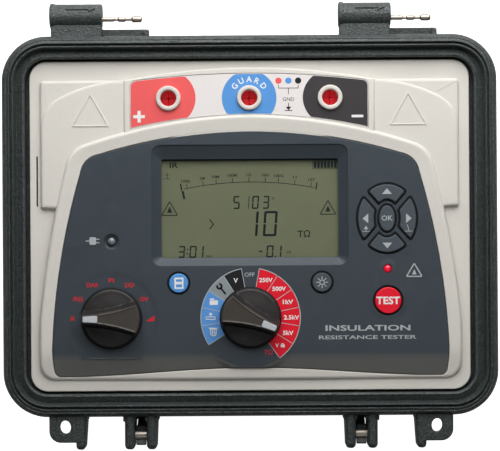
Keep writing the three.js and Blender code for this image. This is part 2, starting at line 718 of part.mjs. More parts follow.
function makeKeypad() {
  const { under, top, collarTop, collarGap, collarWidth } = keypad;
  const sheet = slab(roundedPolygon([
    [-55, -28.4], [-55, -45], [64, -45], [64, -62], [109, -62],
    [108.6, 4], [100.5, 29.5], [64, 29.5], [64, -28.4]
  ], [3, 3, 0.5, 3, 3, 3, 3, 3, 0.5], 2), under, top);
  const outer = collarGap + collarWidth;
  const collars = [saveKey, backlightKey, testKey].map((key) =>
    round(key, top - 0.2, collarTop, outer).subtract(round(key, top, collarTop + 1, collarGap)));
  collars.push(okKey(top - 0.2, collarTop, outer).subtract(okKey(top, collarTop + 1, collarGap)));
  for (let turn = 0; turn < 4; turn++) {
    collars.push(slab(padSector(turn, outer), top - 0.2, collarTop)
      .subtract(slab(padSector(turn, collarGap), top, collarTop + 1)));
  }
  const lamp = post(highVoltageLamp.radius + GAP, 110, 130, highVoltageLamp.x, highVoltageLamp.y, 20);
  return cut(union([sheet, ...collars]), [lamp]);
}

place('keypad_mat', makeKeypad(), look.rubber);

['right', 'up', 'left', 'down'].forEach((word, turn) => {
  place(`button_${word}`, chamferedSlab(padSector(turn, 0), keyFoot, keyTop, 0.4), look.slate);
});
const okOutline = ellipse(pad.okX, pad.okY, pad.x, pad.y, 22);
place('button_ok', chamferedSlab(okOutline, keyFoot, keyTop, 0.4), look.slate);

for (const [name, key, material] of [
  ['save_button', saveKey, look.blue], ['backlight_button', backlightKey, look.slate],
  ['test_button', testKey, look.redKey]
]) {
  place(name, turned([
    [0, keyFoot], [key.radius, keyFoot], [key.radius, keyTop - 0.7], [key.radius - 0.7, keyTop], [0, keyTop]
  ], key.x, key.y, 24), material);
}

for (const [name, lamp, material] of [
  ['line_power_led', lineLamp, look.lens], ['high_voltage_led', highVoltageLamp, look.redLens]
]) {
  const { radius, x, y } = lamp;
  const rimLevel = level.fascia - (lamp === lineLamp ? 0.8 : 0);
  place(name, turned([
    [0, 112], [radius, 112], [radius, rimLevel], [radius * 0.87, rimLevel + 0.8], [radius * 0.5, rimLevel + 1.4],
    [0, rimLevel + 1.6]
  ], x, y, 20), material);
}

// ---------------------------------------------------------------- selectors

// The grip is a wedge: narrow over the pointer, flaring to the tail, with hollowed sides.
function gripOutline(margin) {
  const [tip, tail] = [17.8, -17];
  const half = (x) => 2.7 + 6.9 * ((tip - x) / (tip - tail)) ** 2 + margin;
  const steps = 8;
  const upper = Array.from({ length: steps + 1 }, (_, i) => {
    const x = tip + margin + (tail - tip - margin) * i / steps;
    return [x, half(Math.min(x, tip))];
  });
  return counterClockwise([...upper, ...upper.map(([x, y]) => [x, -y]).reverse()]);
}

function pointerOutline(grow) {
  return roundedPolygon([
    [8 - grow, 2.3 + grow], [8 - grow, -2.3 - grow], [17.4 + grow, -1.8 - grow], [17.4 + grow, 1.8 + grow]
  ], 0.9, 3);
}

function makeKnob() {
  const { radius, height: tall } = knob;
  const skirt = turned([[0, 0], [radius, 0], [radius, 2.8], [radius - 0.8, 3.6], [0, 3.6]], 0, 0, 30);
  const wedge = loft([[gripOutline(2), 3], [gripOutline(1.4), 6.5], [gripOutline(0), tall - 0.6],
    [gripOutline(-0.5), tall]]);
  const envelope = turned([[0, 0], [radius, 0], [radius, 3], [radius - 1.2, tall], [0, tall]], 0, 0, 30);
  return cut(union([skirt, wedge.intersect(envelope)]), [
    post(3.2, -1, 9, 0, 0, 14),
    slab(pointerOutline(0.15), tall - 1, tall + 2)
  ]);
}

// Turns a solid about the vertical axis and stands it at a place.
function stood(solid, degrees, x, y, z) {
  return solid.rotate([0, 0, degrees]).translate([x, y, z]);
}

for (const [word, x, degrees] of [['main', 0, mainRestDegrees], ['mode', knob.modeX, modeRestDegrees]]) {
  const pointer = slab(pointerOutline(0), knob.height - 0.9, knob.height + 0.5);
  place(`${word}_knob`, stood(makeKnob(), degrees, x, knob.y, knob.foot), look.knob);
  place(`${word}_knob_pointer`, stood(pointer, degrees, x, knob.y, knob.foot), look.pale);
  place(`${word}_shaft`, post(3, 104, knob.foot + 8.6, x, knob.y, 14), look.steel);
  const switchBody = turned([[0, 101.9], [13, 101.9], [13, 112], [6, 112.4], [6, 115.5], [0, 115.5]], x, knob.y, 16)
    .subtract(post(3.08, 103.7, 120, x, knob.y, 20));
  place(`${word}_switch`, switchBody, look.block);
}

// ---------------------------------------------------------------- inside the case

function makeBoard() {
  const sheet = box(-130, 130, -92, 52, boardTop - 1.6, boardTop);
  return cut(sheet, sides.map((side) => post(7, 90, 110, side * screwPlace.x, -screwPlace.y, 20)));
}

place('main_board', makeBoard(), look.board);
place('battery_pack', slab(roundedRectangle(72, 48, 6, 3, 0, -32), 8, 58), look.battery);
place('high_voltage_module', slab(roundedRectangle(72, 17, 3, 3, 0, 76), 8, 78), look.block);
place('charger_module', slab(roundedRectangle(20, 42, 2, 3, -102, -18), 8, 50), look.block);
place('power_inlet', box(-139.5, -118, inlet.minY, inlet.maxY, inlet.minZ, inlet.maxZ)
  .subtract(box(-145, -124, inlet.minY + 5, inlet.maxY - 5, inlet.minZ + 5, inlet.maxZ - 5)), look.block);
place('usb_socket', box(-139.5, -125, port.minY, port.maxY, port.minZ, port.maxZ)
  .subtract(box(-145, -129, port.minY + 3, port.maxY - 3, port.minZ + 4, port.maxZ - 4)), look.steel);

const gasketOutline = roundedRectangle(panel.halfX - 0.4, panel.halfY - 0.4, panel.corner);
const gasketOuter = slab(gasketOutline, height.ledge + 0.1, panel.under - 0.1);
const gasketInner = slab(roundedRectangle(panel.halfX - 4, panel.halfY - 4, 8), 110, 120);
place('panel_gasket', gasketOuter.subtract(gasketInner), look.rubber);

for (const [sideX, wordX] of [[-1, 'left'], [1, 'right']]) {
  for (const [sideY, wordY] of [[-1, 'front'], [1, 'rear']]) {
    const { radius, seat } = screwHead;
    place(`panel_screw_${wordY}_${wordX}`, turned([
      [0, seat - 2.9], [radius - 0.6, seat - 2.9], [radius, seat - 2.3], [radius, seat - GAP],
      [1.6, seat - GAP], [1.6, 26], [1, 28], [0, 28]
    ], sideX * screwPlace.x, sideY * screwPlace.y, 10), look.steel);
  }
}

export default tester;
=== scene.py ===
"""Looks for the insulation resistance tester: fine surfaces, prints, materials, light and camera.

Lengths are millimetres until a mesh is made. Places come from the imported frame.
"""
import math
import bpy
import bmesh
from mathutils import Matrix, Vector
from mathutils.geometry import delaunay_2d_cdt


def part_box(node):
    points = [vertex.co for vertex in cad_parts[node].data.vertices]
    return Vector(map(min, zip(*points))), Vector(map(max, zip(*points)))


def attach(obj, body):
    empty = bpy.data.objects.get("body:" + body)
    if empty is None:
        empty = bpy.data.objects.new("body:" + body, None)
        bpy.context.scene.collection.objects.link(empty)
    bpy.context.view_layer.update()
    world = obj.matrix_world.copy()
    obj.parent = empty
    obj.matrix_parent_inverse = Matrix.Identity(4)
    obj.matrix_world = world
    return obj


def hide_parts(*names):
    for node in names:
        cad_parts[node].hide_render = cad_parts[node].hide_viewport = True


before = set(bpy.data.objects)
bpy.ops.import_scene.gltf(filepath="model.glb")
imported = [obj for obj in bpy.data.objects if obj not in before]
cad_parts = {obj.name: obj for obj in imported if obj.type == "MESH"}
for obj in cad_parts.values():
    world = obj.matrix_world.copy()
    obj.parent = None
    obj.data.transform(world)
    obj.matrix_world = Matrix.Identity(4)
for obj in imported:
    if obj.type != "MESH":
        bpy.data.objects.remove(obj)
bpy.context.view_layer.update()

MM = 0.001
ROUND = 64                      # points round a turned piece
ROOT = "instrument"
PRINT = 0.05                    # thickness of a printed patch
LINE_THICK = 0.06               # thickness of printed lines and letters
LEAN = 0.07                     # slant of the display's figures


class Box:
    """Where a CAD node is, in millimetres."""

    def __init__(self, node):
        low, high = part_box(node)
        self.low = Vector(low) / MM
        self.high = Vector(high) / MM
        self.middle = (self.low + self.high) / 2
        self.size = self.high - self.low

    def plan(self, corner, steps):
        """The box from above, with rounded corners."""
        half = self.size / 2
        return rounded_rectangle(half.x, half.y, corner, steps, self.middle.x, self.middle.y)


# ---------------------------------------------------------------- outlines

def counter_clockwise(points):
    distinct = [p for p, q in zip(points, points[1:] + points[:1]) if math.dist(p, q) > 1e-4]
    doubled = sum(p[0] * q[1] - q[0] * p[1] for p, q in zip(distinct, distinct[1:] + distinct[:1]))
    return distinct if doubled > 0 else distinct[::-1]


def around(spot, radius, angle):
    """The point at a radius and an angle in radians about a spot."""
    return spot[0] + radius * math.cos(angle), spot[1] + radius * math.sin(angle)


def bow(start, end, rise, steps):
    """Points of an arc from start to end that rises to the left of its way."""
    chord = math.dist(start, end)
    along = ((end[0] - start[0]) / chord, (end[1] - start[1]) / chord)
    radius = abs(chord * chord / 4 + rise * rise) / abs(2 * rise)
    half = math.asin(chord / 2 / radius)
    points = []
    for i in range(steps + 1):
        angle = half * (2 * i / steps - 1)
        forward = chord / 2 + radius * math.sin(angle)
        side = math.copysign(radius * (math.cos(angle) - math.cos(half)), rise)
        points.append((start[0] + along[0] * forward - along[1] * side,
                       start[1] + along[1] * forward + along[0] * side))
    return points


def mirrored(right_half):
    """A closed outline from its right half, from the top middle to the bottom middle."""
    left = [(-x, y) for x, y in right_half if abs(x) > 1e-6][::-1]
    return counter_clockwise(list(right_half) + left)


def rounded_polygon(corners, radius, steps=8):
    outline = []
    for i, corner in enumerate(corners):
        here = Vector(corner)
        before = (Vector(corners[i - 1]) - here).normalized()
        after = (Vector(corners[(i + 1) % len(corners)]) - here).normalized()
        half = before.angle(after) / 2
        r = radius[i] if isinstance(radius, list) else radius
        centre = here + (before + after).normalized() * r / math.sin(half)
        first = here + before * r / math.tan(half) - centre
        last = here + after * r / math.tan(half) - centre
        sweep = math.atan2(first.x * last.y - first.y * last.x, first.dot(last))
        for step in range(steps + 1):
            turn = Matrix.Rotation(sweep * step / steps, 2)
            outline.append(tuple(centre + turn @ first))
    return counter_clockwise(outline)


def oblong(x, y, half_x, half_y):
    return [(x + a * half_x, y + b * half_y) for a, b in ((-1, -1), (1, -1), (1, 1), (-1, 1))]


def rounded_rectangle(half_x, half_y, radius, steps=8, x=0.0, y=0.0):
    return rounded_polygon(oblong(x, y, -half_x, -half_y), radius, steps)


def ellipse(half_x, half_y, x=0.0, y=0.0, steps=ROUND):
    turns = [2 * math.pi * i / steps for i in range(steps)]
    return [(x + half_x * math.cos(a), y + half_y * math.sin(a)) for a in turns]


def circle(radius, spot, steps=48):
    return ellipse(radius, radius, spot[0], spot[1], steps)


def grown(outline, distance):
    """The outline moved outwards along its own normals."""
    count = len(outline)
    moved = []
    for i, (x, y) in enumerate(outline):
        here = Vector((x, y))
        into = (here - Vector(outline[i - 1])).normalized()
        out_of = (Vector(outline[(i + 1) % count]) - here).normalized()
        normal = Vector((into.y + out_of.y, -into.x - out_of.x)).normalized()
        stretch = 1 / max(0.5, normal.dot(Vector((into.y, -into.x))))
        moved.append((x + normal.x * distance * stretch, y + normal.y * distance * stretch))
    return moved


def finely(outline, longest):
    """The outline with its long edges divided."""
    points = []
    for p, q in zip(outline, outline[1:] + outline[:1]):
        parts = max(1, math.ceil(math.dist(p, q) / longest))
        points += [(p[0] + (q[0] - p[0]) * i / parts, p[1] + (q[1] - p[1]) * i / parts) for i in range(parts)]
    return points


def sector(spot, inner, outer, start, end, steps=10):
    """A piece of a ring between two angles in degrees."""
    angles = [math.radians(start + (end - start) * i / steps) for i in range(steps + 1)]
    return counter_clockwise([around(spot, outer, a) for a in angles]
                             + [around(spot, inner, a) for a in angles[::-1]])


def inside(point, outline):
    x, y = point
    odd = False
    for (ax, ay), (bx, by) in zip(outline, outline[1:] + outline[:1]):
        if (ay > y) != (by > y) and x < ax + (y - ay) * (bx - ax) / (by - ay):
            odd = not odd
    return odd


def filling(outline, tops, creases, grid, where):
    """Points of a staggered grid inside a plate, clear of its edges and creases."""
    cells = {}
    for line in [*tops, *creases]:
        for x, y in line:
            cells.setdefault((round(x / grid), round(y / grid)), []).append((x, y))
    columns, rows = [range(math.floor(min(c) / grid), math.ceil(max(c) / grid)) for c in zip(*outline)]
    inner = []
    for i in columns:
        for j in rows:
            p = (i * grid + (j % 2) * grid / 2, j * grid)
            if where and not where(p):
                continue
            near = [q for a in (-1, 0, 1) for b in (-1, 0, 1)
                    for q in cells.get((round(p[0] / grid) + a, round(p[1] / grid) + b), ())]
            if any(math.dist(p, q) < grid * 0.45 for q in near):
                continue
            if inside(p, tops[0]) and not any(inside(p, hole) for hole in tops[1:]):
                inner.append(p)
    return inner


def triangulated(coords, pairs, loops):
    """Triangles inside the first loop and outside the others."""
    verts, _, faces, originals, _, _ = delaunay_2d_cdt([Vector(p) for p in coords], pairs, [], 0, 1e-7)
    found = {old: new for new, olds in enumerate(originals) for old in olds}
    boxes = [[(min(c), max(c)) for c in zip(*loop)] for loop in loops]
    kept = []
    for face in faces:
        middle = sum((verts[i] for i in face), Vector((0, 0))) / 3
        hits = [all(low <= m <= high for (low, high), m in zip(box, middle)) and inside(middle, loop)
                for box, loop in zip(boxes, loops)]
        if hits[0] and not any(hits[1:]):
            kept.append(tuple(face))
    return found, kept, [tuple(v) for v in verts]


# ---------------------------------------------------------------- shells

ACROSS = Matrix(((0, 0, 1, 0), (1, 0, 0, 0), (0, 1, 0, 0), (0, 0, 0, 1)))   # (y, z, x) to (x, y, z)


def level(outline, z):
    return [(x, y, z) for x, y in outline]


class Shells:
    """The closed shells of one piece, gathered in millimetres."""

    def __init__(self):
        self.points = []
        self.faces = []
        self.slots = []

    def ring(self, points):
        start = len(self.points)
        self.points += [tuple(p) for p in points]
        return list(range(start, len(self.points)))

    def face(self, corners, slot=0):
        self.faces.append(tuple(corners))
        self.slots.append(slot)

    def band(self, low, high, slot=0):
        for i in range(len(low)):
            j = (i + 1) % len(low)
            self.face((low[i], low[j], high[j], high[i]), slot)

    def loft(self, layers, slot=0, looped=False):
        rings = [self.ring(layer) for layer in layers]
        for low, high in zip(rings, rings[1:]):
            self.band(low, high, slot)
        if looped:
            self.band(rings[-1], rings[0], slot)
        else:
            self.face(rings[0][::-1], slot)
            self.face(rings[-1], slot)

    def slab(self, outline, low, high, top=0.0, foot=0.0, steps=5, slot=0, spread=1.0):
        """A slab with top and foot edges rounded to those radii; spread widens the top's rounding."""
        layers = []
        if foot:
            for i in range(steps):
                a = i / steps * math.pi / 2
                inset = -foot * (1 - math.sin(a))
                layers.append(level(grown(outline, inset), low + foot * (1 - math.cos(a))))
        else:
            layers.append(level(outline, low))
        if foot and not top:
            layers.append(level(outline, low + foot))
        if top:
            for i in range(steps + 1):
                a = i / steps * math.pi / 2
                inset = -top * spread * (1 - math.cos(a))
                layers.append(level(grown(outline, inset), high - top * (1 - math.sin(a))))
        else:
            layers.append(level(outline, high))
        self.loft(layers, slot)

    def turned(self, profile, spot=(0.0, 0.0), steps=ROUND, slot=0, looped=False):
        """Turned about a vertical axis: profile lists (radius, z), outside surface running upwards."""
        turns = [2 * math.pi * i / steps for i in range(steps)]
        self.loft([[(*around(spot, r, a), z) for a in turns] for r, z in profile], slot, looped)

    def place(self, matrix, since=0):
        for i in range(since, len(self.points)):
            self.points[i] = tuple(matrix @ Vector(self.points[i]))

    def upright(self, outline, low_x, high_x, edge):
        """A slab standing across X: its outline is in (y, z)."""
        since = len(self.points)
        self.slab(outline, low_x, high_x, top=edge, foot=edge)
        self.place(ACROSS, since)

    def lying(self, profile, y, z, steps=40):
        """Turned about an axis along X: profile lists (x, radius)."""
        since = len(self.points)
        self.turned([(r, x) for x, r in profile], steps=steps)
        self.place(Matrix.Translation((0, y, z)) @ ACROSS, since)

    def sheet(self, outline, holes, surface, under, edge=0.5, creases=(), grid=0.0, where=None, slot=0,
              edge_steps=4):
        """A plate whose top follows surface(x, y). A hole is (outline, edge radius), or with a foot outline
        and its level added, and then its walls run down to that foot first."""
        loops = [outline] + [hole[0] for hole in holes]
        edges = [-edge] + [hole[1] for hole in holes]
        feet = [()] + [hole[2:] for hole in holes]
        tops = [grown(loop, r) for loop, r in zip(loops, edges)]
        coords, pairs = [], []
        for loop in tops:
            start = len(coords)
            coords += loop
            pairs += [(start + i, start + (i + 1) % len(loop)) for i in range(len(loop))]
        low_map, low_faces, low_points = triangulated(coords, pairs, tops)
        for line in creases:
            start = len(coords)
            coords += line
            pairs += [(start + i, start + i + 1) for i in range(len(line) - 1)]
        if grid:
            coords += filling(outline, tops, creases, grid, where)
        top_map, top_faces, top_points = triangulated(coords, pairs, tops)
        top = self.ring([(x, y, surface(x, y)) for x, y in top_points])
        for corners in top_faces:
            self.face([top[i] for i in corners], slot)
        start = 0
        walls = []
        for loop, r, foot in zip(loops, edges, feet):
            rings = [[top[top_map[start + i]] for i in range(len(loop))]]
            for step in range(1, edge_steps + 1):
                a = (1 - step / edge_steps) * math.pi / 2
                drop = abs(r) * (1 - math.sin(a))
                moved = grown(loop, r * (1 - math.cos(a)))
                rings.append(self.ring([(x, y, surface(x, y) - drop) for x, y in moved]))
            if foot:
                rings.append(self.ring(level(*foot)))
            for i, p in enumerate(foot[0] if foot else loop):
                low_points[low_map[start + i]] = p
            walls.append((start, rings))
            start += len(loop)
        low = self.ring(level(low_points, under))
        for corners in low_faces:
            self.face([low[i] for i in corners[::-1]], slot)
        for start, rings in walls:
            rings.append([low[low_map[start + i]] for i in range(len(rings[0]))])
            for upper, lower in zip(rings, rings[1:]):
                self.band(*((upper, lower) if start else (lower, upper)), slot)

    def print_area(self, outline, holes, z, slot):
        """A flat printed area with holes."""
        self.sheet(outline, [(hole, 0.01) for hole in holes], lambda x, y: z + PRINT, z - 0.02, edge=0.01,
                   edge_steps=1, slot=slot)


LIT = {"0": "abcdef", "1": "bc", "3": "abgcd", "5": "afgcd", "-": "g"}


class Pen:
    """Prints patches, lines, letters and figures on one level of a piece, about an origin."""

    def __init__(self, shells, z, slot, origin=(0.0, 0.0)):
        self.shells = shells
        self.z = z
        self.slot = slot
        self.origin = origin

    def patch(self, outline, thick=PRINT):
        moved = [(self.origin[0] + p[0], self.origin[1] + p[1]) for p in outline]
        self.shells.slab(counter_clockwise(moved), self.z, self.z + thick, slot=self.slot)

    def line(self, points, width, closed=False):
        """A line of even width through the points."""
        points = [Vector(p) for p in points]
        for a, b in zip(points, points[1:] + points[:1] * closed):
            along = (b - a).normalized() * width / 2
            side = Vector((-along.y, along.x))
            corners = [a - along - side, b + along - side, b + along + side, a - along + side]
            self.patch(corners, LINE_THICK)

    def figures(self, text, x, y, high, wide, bar, pitch=None):
        """Figures of seven leaning bars, the lower left corner of the first at (x, y)."""
        pitch = pitch or wide * 1.38
        half, gap, waist = bar / 2, bar * 0.22, high / 2
        right = wide - half
        ends = {"a": (bar, high - half, wide - bar, high - half), "d": (bar, half, wide - bar, half),
                "g": (bar, waist, wide - bar, waist), "f": (half, waist, half, high),
                "b": (right, waist, right, high), "e": (half, 0, half, waist), "c": (right, 0, right, waist)}
        for figure in text:
            if figure in ".:":
                for h in (0.0,) if figure == "." else (high * 0.28, high * 0.66):
                    self.patch(oblong(x + h * LEAN + half, y + h + half, half, half))
                x += pitch * 0.32
                continue
            for key in LIT[figure]:
                ax, ay, bx, by = ends[key]
                wider, taller = (half * 0.6, half) if ay == by else (half, -gap)
                corners = oblong((ax + bx) / 2, (ay + by) / 2, (bx - ax) / 2 + wider, (by - ay) / 2 + taller)
                self.patch([(x + px + py * LEAN, y + py) for px, py in corners])
            x += pitch

    def text(self, text, cap, x=0.0, y=0.0, bold=0.0, width=None, turn=0.0):
        """Letters of the given capital height, centred on (x, y)."""
        curve = bpy.data.curves.new("letters", "FONT")
        curve.body = text
        curve.size = cap * 1.38
        curve.offset = bold
        curve.resolution_u = 3
        curve.extrude = LINE_THICK / 2
        holder = bpy.data.objects.new("letters", curve)
        bpy.context.scene.collection.objects.link(holder)
        bpy.context.view_layer.update()
        mesh = bpy.data.meshes.new_from_object(holder.evaluated_get(bpy.context.evaluated_depsgraph_get()))
        xs, ys, _ = zip(*(v.co for v in mesh.vertices))
        centre = Vector(((min(xs) + max(xs)) / 2, (min(ys) + max(ys)) / 2, 0))
        squeeze = width / (max(xs) - min(xs)) if width else 1.0
        spot = (self.origin[0] + x, self.origin[1] + y, self.z + LINE_THICK / 2)
        matrix = Matrix.Translation(spot) @ Matrix.Rotation(turn, 4, "Z") \
            @ Matrix.Diagonal((squeeze, 1, 1, 1)) @ Matrix.Translation(-centre)
        start = len(self.shells.points)
        self.shells.points += [tuple(matrix @ v.co) for v in mesh.vertices]
        for polygon in mesh.polygons:
            self.shells.face([start + i for i in polygon.vertices], self.slot)
        bpy.data.objects.remove(holder)
        bpy.data.curves.remove(curve)
        bpy.data.meshes.remove(mesh)


def made_object(name, shells):
    """A linked object with the shells' mesh in metres, its faces turned outwards."""
    mesh = bpy.data.meshes.new(name)
    mesh.from_pydata([Vector(p) * MM for p in shells.points], [], shells.faces)
    mesh.polygons.foreach_set("material_index", shells.slots)
    work = bmesh.new()
    work.from_mesh(mesh)
    bmesh.ops.remove_doubles(work, verts=work.verts, dist=1e-7)
    bmesh.ops.recalc_face_normals(work, faces=work.faces)
    work.to_mesh(mesh)
    work.free()
    made = bpy.data.objects.new(name, mesh)
    bpy.context.scene.collection.objects.link(made)
    return made


def piece(name, shells, materials, replaced=None, body=ROOT, sharp=32, flat=False):
    made = made_object(name, shells)
    for material in materials:
        made.data.materials.append(material)
    if not flat:
        made.data.shade_smooth()
        made.data.set_sharp_from_angle(angle=math.radians(sharp))
        even = made.modifiers.new("even_normals", "WEIGHTED_NORMAL")
        even.keep_sharp = True
        even.weight = 60
    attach(made, body)
    if replaced:
        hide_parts(replaced)
    return made


# ---------------------------------------------------------------- materials

class Finish:
    """A material built from linked nodes, with textures that stay with the piece."""

    def __init__(self, name):
        self.material = bpy.data.materials.new(name)
        self.material.use_nodes = True
        self.tree = self.material.node_tree
        self.skin = self.tree.nodes["Principled BSDF"]
        self.place = self.node("ShaderNodeTexCoord").outputs["Object"]

    def feed(self, socket, value):
        """Links a node's output to the socket, or sets the socket's value."""
        if isinstance(value, bpy.types.NodeSocket):
            self.tree.links.new(value, socket)
        else:
            socket.default_value = value

    def node(self, kind, **values):
        made = self.tree.nodes.new(kind)
        for key, value in values.items():
            if hasattr(made, key):
                setattr(made, key, value)
            else:
                self.feed(made.inputs[key], value)
        return made

    def noise(self, size, detail=3.0, stretch=None):
        """Noise whose patches are about size millimetres wide."""
        place = self.place
        if stretch:
            place = self.node("ShaderNodeMapping", Vector=place, Scale=stretch).outputs["Vector"]
        made = self.node("ShaderNodeTexNoise", Vector=place, Scale=1 / (size * MM), Detail=detail)
        return made.outputs["Fac"]

    def between(self, value, low, high, start=0.3, end=0.7):
        """The value mapped from start..end to low..high."""
        made = self.node("ShaderNodeMapRange", Value=value)
        for name, number in (("From Min", start), ("From Max", end), ("To Min", low), ("To Max", high)):
            made.inputs[name].default_value = number
        return made.outputs["Result"]

    def mixed(self, amount, first, second, kind="RGBA"):
        made = self.node("ShaderNodeMix", data_type=kind)
        for key, value in zip((0, 6, 7) if kind == "RGBA" else (0, 2, 3), (amount, first, second)):
            self.feed(made.inputs[key], value)
        return made.outputs[2 if kind == "RGBA" else 0]

    def combined(self, operation, first, second):
        made = self.node("ShaderNodeMath", operation=operation)
        self.feed(made.inputs[0], first)
        self.feed(made.inputs[1], second)
        return made.outputs[0]

    def bump(self, height, distance, strength=1.0, over=None):
        """The normal of relief of that many millimetres, laid over another normal where one is given."""
        made = self.node("ShaderNodeBump", Height=height, Distance=distance * MM, Strength=strength)
        if over:
            self.feed(made.inputs["Normal"], over)
        return made.outputs["Normal"]

    def along_y(self, vector):
        return self.node("ShaderNodeSeparateXYZ", Vector=vector).outputs["Y"]

    def set(self, **values):
        """Feeds the skin's sockets; an underscore stands for a space."""
        for key, value in values.items():
            self.feed(self.skin.inputs[key.replace("_", " ")], value)


def linear(red, green, blue):
    """A colour given in display values from 0 to 255."""
    def channel(value):
        value /= 255
        return value / 12.92 if value <= 0.04045 else ((value + 0.055) / 1.055) ** 2.4
    return (channel(red), channel(green), channel(blue), 1.0)


def shaded(colour, factor):
    return tuple(min(1.0, c * factor) for c in colour[:3]) + (1.0,)


WORN = linear(176, 172, 164)    # the tone of scuffed specks
STRIP_SHEEN = linear(90, 91, 88)     # painted sheen of the forward-leaning lower strip


def moulded(name, tint, rough=0.5, grain=0.6, depth=0.03, vary=0.05, mottle=0.02, wear=0.03, shine=0.5,
            metal=0.0, coat=0.0, glow=0.0, painted_light_over=None):
    """Moulded plastic or metal: grain, mottled colour, uneven gloss, fine scratches and scuffed specks."""
    f = Finish(name)
    colour = linear(*tint)
    spread = vary + mottle
    patches = f.mixed(mottle / spread, f.between(f.noise(38), 0, 1),
                      f.between(f.noise(grain * 1.5, 3), 0, 1, 0.35, 0.65), "FLOAT")
    tone = f.mixed(patches, shaded(colour, 1 - spread), shaded(colour, 1 + spread))
    tone = f.mixed(f.between(f.noise(0.9, 2), 0, wear * 2, 0.64, 0.78), tone, WORN)
    # a hook that paints light into the tone, such as the painted sheen of the slate's lower strip
    if painted_light_over:
        tone = painted_light_over(f, tone)
    scratches = f.between(f.noise(1.1, 1, (0.08, 1.0, 1.0)), 0, wear * 3, 0.68, 0.74)
    gloss = f.between(f.noise(7, 5), rough - 0.07, rough + 0.07)
    cells = f.node("ShaderNodeTexVoronoi", Vector=f.place, Scale=1 / (grain * MM)).outputs["Distance"]
    relief = f.bump(f.noise(grain * 6, 4), depth * 1.5, 0.8, f.bump(cells, depth))
    f.set(Base_Color=tone, Roughness=f.combined("ADD", gloss, scratches), Normal=relief, Metallic=metal,
          Specular_IOR_Level=shine, Coat_Weight=coat, Emission_Strength=glow, Emission_Color=colour)
    return f.material


def printed(name, tint, rough=0.5, shine=0.4):
    """Screen-printed ink: slightly uneven, with pinholes."""
    f = Finish(name)
    colour = linear(*tint)
    f.set(Base_Color=f.mixed(f.between(f.noise(0.5, 2), 0, 0.35, 0.62, 0.8), colour, shaded(colour, 0.72)),
          Roughness=f.between(f.noise(3, 4), rough - 0.06, rough + 0.08), Specular_IOR_Level=shine,
          Normal=f.bump(f.noise(0.35, 2), 0.008, 0.8))
    return f.material


def window_glass():
    """Clear plastic window: nearly all light passes, with a glossy skin and a few fine scratches."""
    f = Finish("window_glass")
    f.tree.nodes.remove(f.skin)
    clear = f.node("ShaderNodeBsdfTransparent", Color=(0.93, 0.94, 0.92, 1))
    scratches = f.bump(f.noise(1.5, 1, (0.06, 1.0, 1.0)), 0.004, 0.5)
    gloss = f.node("ShaderNodeBsdfGlossy", Roughness=f.between(f.noise(4, 4), 0.06, 0.16), Normal=scratches)
    facing = f.node("ShaderNodeFresnel", IOR=1.42).outputs["Fac"]
    outer = f.between(f.node("ShaderNodeNewGeometry").outputs["Backfacing"], 1, 0, 0, 1)
    mix = f.node("ShaderNodeMixShader", Fac=f.combined("MULTIPLY", facing, outer))
    f.feed(mix.inputs[1], clear.outputs[0])
    f.feed(mix.inputs[2], gloss.outputs[0])
    f.feed(f.tree.nodes["Material Output"].inputs["Surface"], mix.outputs[0])
    return f.material


def lens(name, tint, glow):
    """Coloured lamp lens with a faint glow."""
    material = moulded(name, tint, rough=0.16, grain=0.4, depth=0.004, wear=0.0, shine=0.6, coat=0.6, glow=glow)
    skin = material.node_tree.nodes["Principled BSDF"]
    skin.inputs["Subsurface Weight"].default_value = 0.2
    skin.inputs["Subsurface Scale"].default_value = 1.5 * MM
    return material


def painted_strip_sheen(f, tone):
    """The strip in front of the bend leans forward; a painted sheen makes it lighter and greyer where its faces
    lean forward.
    """
    leaning = f.between(f.along_y(f.node("ShaderNodeNewGeometry").outputs["Normal"]), 1, 0, -0.12, -0.06)
    in_front = f.between(f.along_y(f.place), 1, 0, -0.086, -0.0795)
    return f.mixed(f.combined("MULTIPLY", leaning, in_front), tone, STRIP_SHEEN)


def display_ground():
    """The grey green of the display, with a painted shadow of the bezel along its upper edge and a faint
    painted glow.
    """
    ground = linear(125, 128, 104)
    f = Finish("display_ground")
    # painted shadow of the bezel: the display is darkened towards its upper edge
    upper = f.between(f.along_y(f.place), 0.0, 0.62, 0.0365, 0.0426)
    tone = f.mixed(f.between(f.noise(38), 0, 1), shaded(ground, 0.95), shaded(ground, 1.03))
    tone = f.mixed(upper, tone, shaded(ground, 0.12))
    # the faint emission is a painted glow that brightens the display
    f.set(Base_Color=tone, Emission_Color=tone, Emission_Strength=0.05,
          Roughness=f.between(f.noise(4, 4), 0.44, 0.56), Normal=f.bump(f.noise(0.5, 2), 0.003))
    return f.material


CASE = moulded("case_black", (55, 62, 61), rough=0.43, grain=0.9, depth=0.3, vary=0.06, mottle=0.5, wear=0.18,
               shine=0.6)
CASE_SMOOTH = moulded("case_fittings", (54, 60, 60), rough=0.42, grain=0.5, depth=0.02, vary=0.07)
CREAM = moulded("cream_plastic", (219, 215, 207), grain=0.45, depth=0.018, vary=0.02, shine=0.35)
# the slate's forward-leaning lower strip carries a painted sheen
SLATE = moulded("slate_plastic", (60, 68, 75), rough=0.42, grain=0.4, depth=0.018, vary=0.04, mottle=0.05,
                shine=0.45, painted_light_over=painted_strip_sheen)
SLATE_KEY = moulded("slate_rubber", (72, 80, 87), rough=0.58, grain=0.35, depth=0.012, vary=0.04, shine=0.35)
KNOB = moulded("knob_black", (29, 26, 25), grain=0.35, depth=0.015, vary=0.06, wear=0.04)
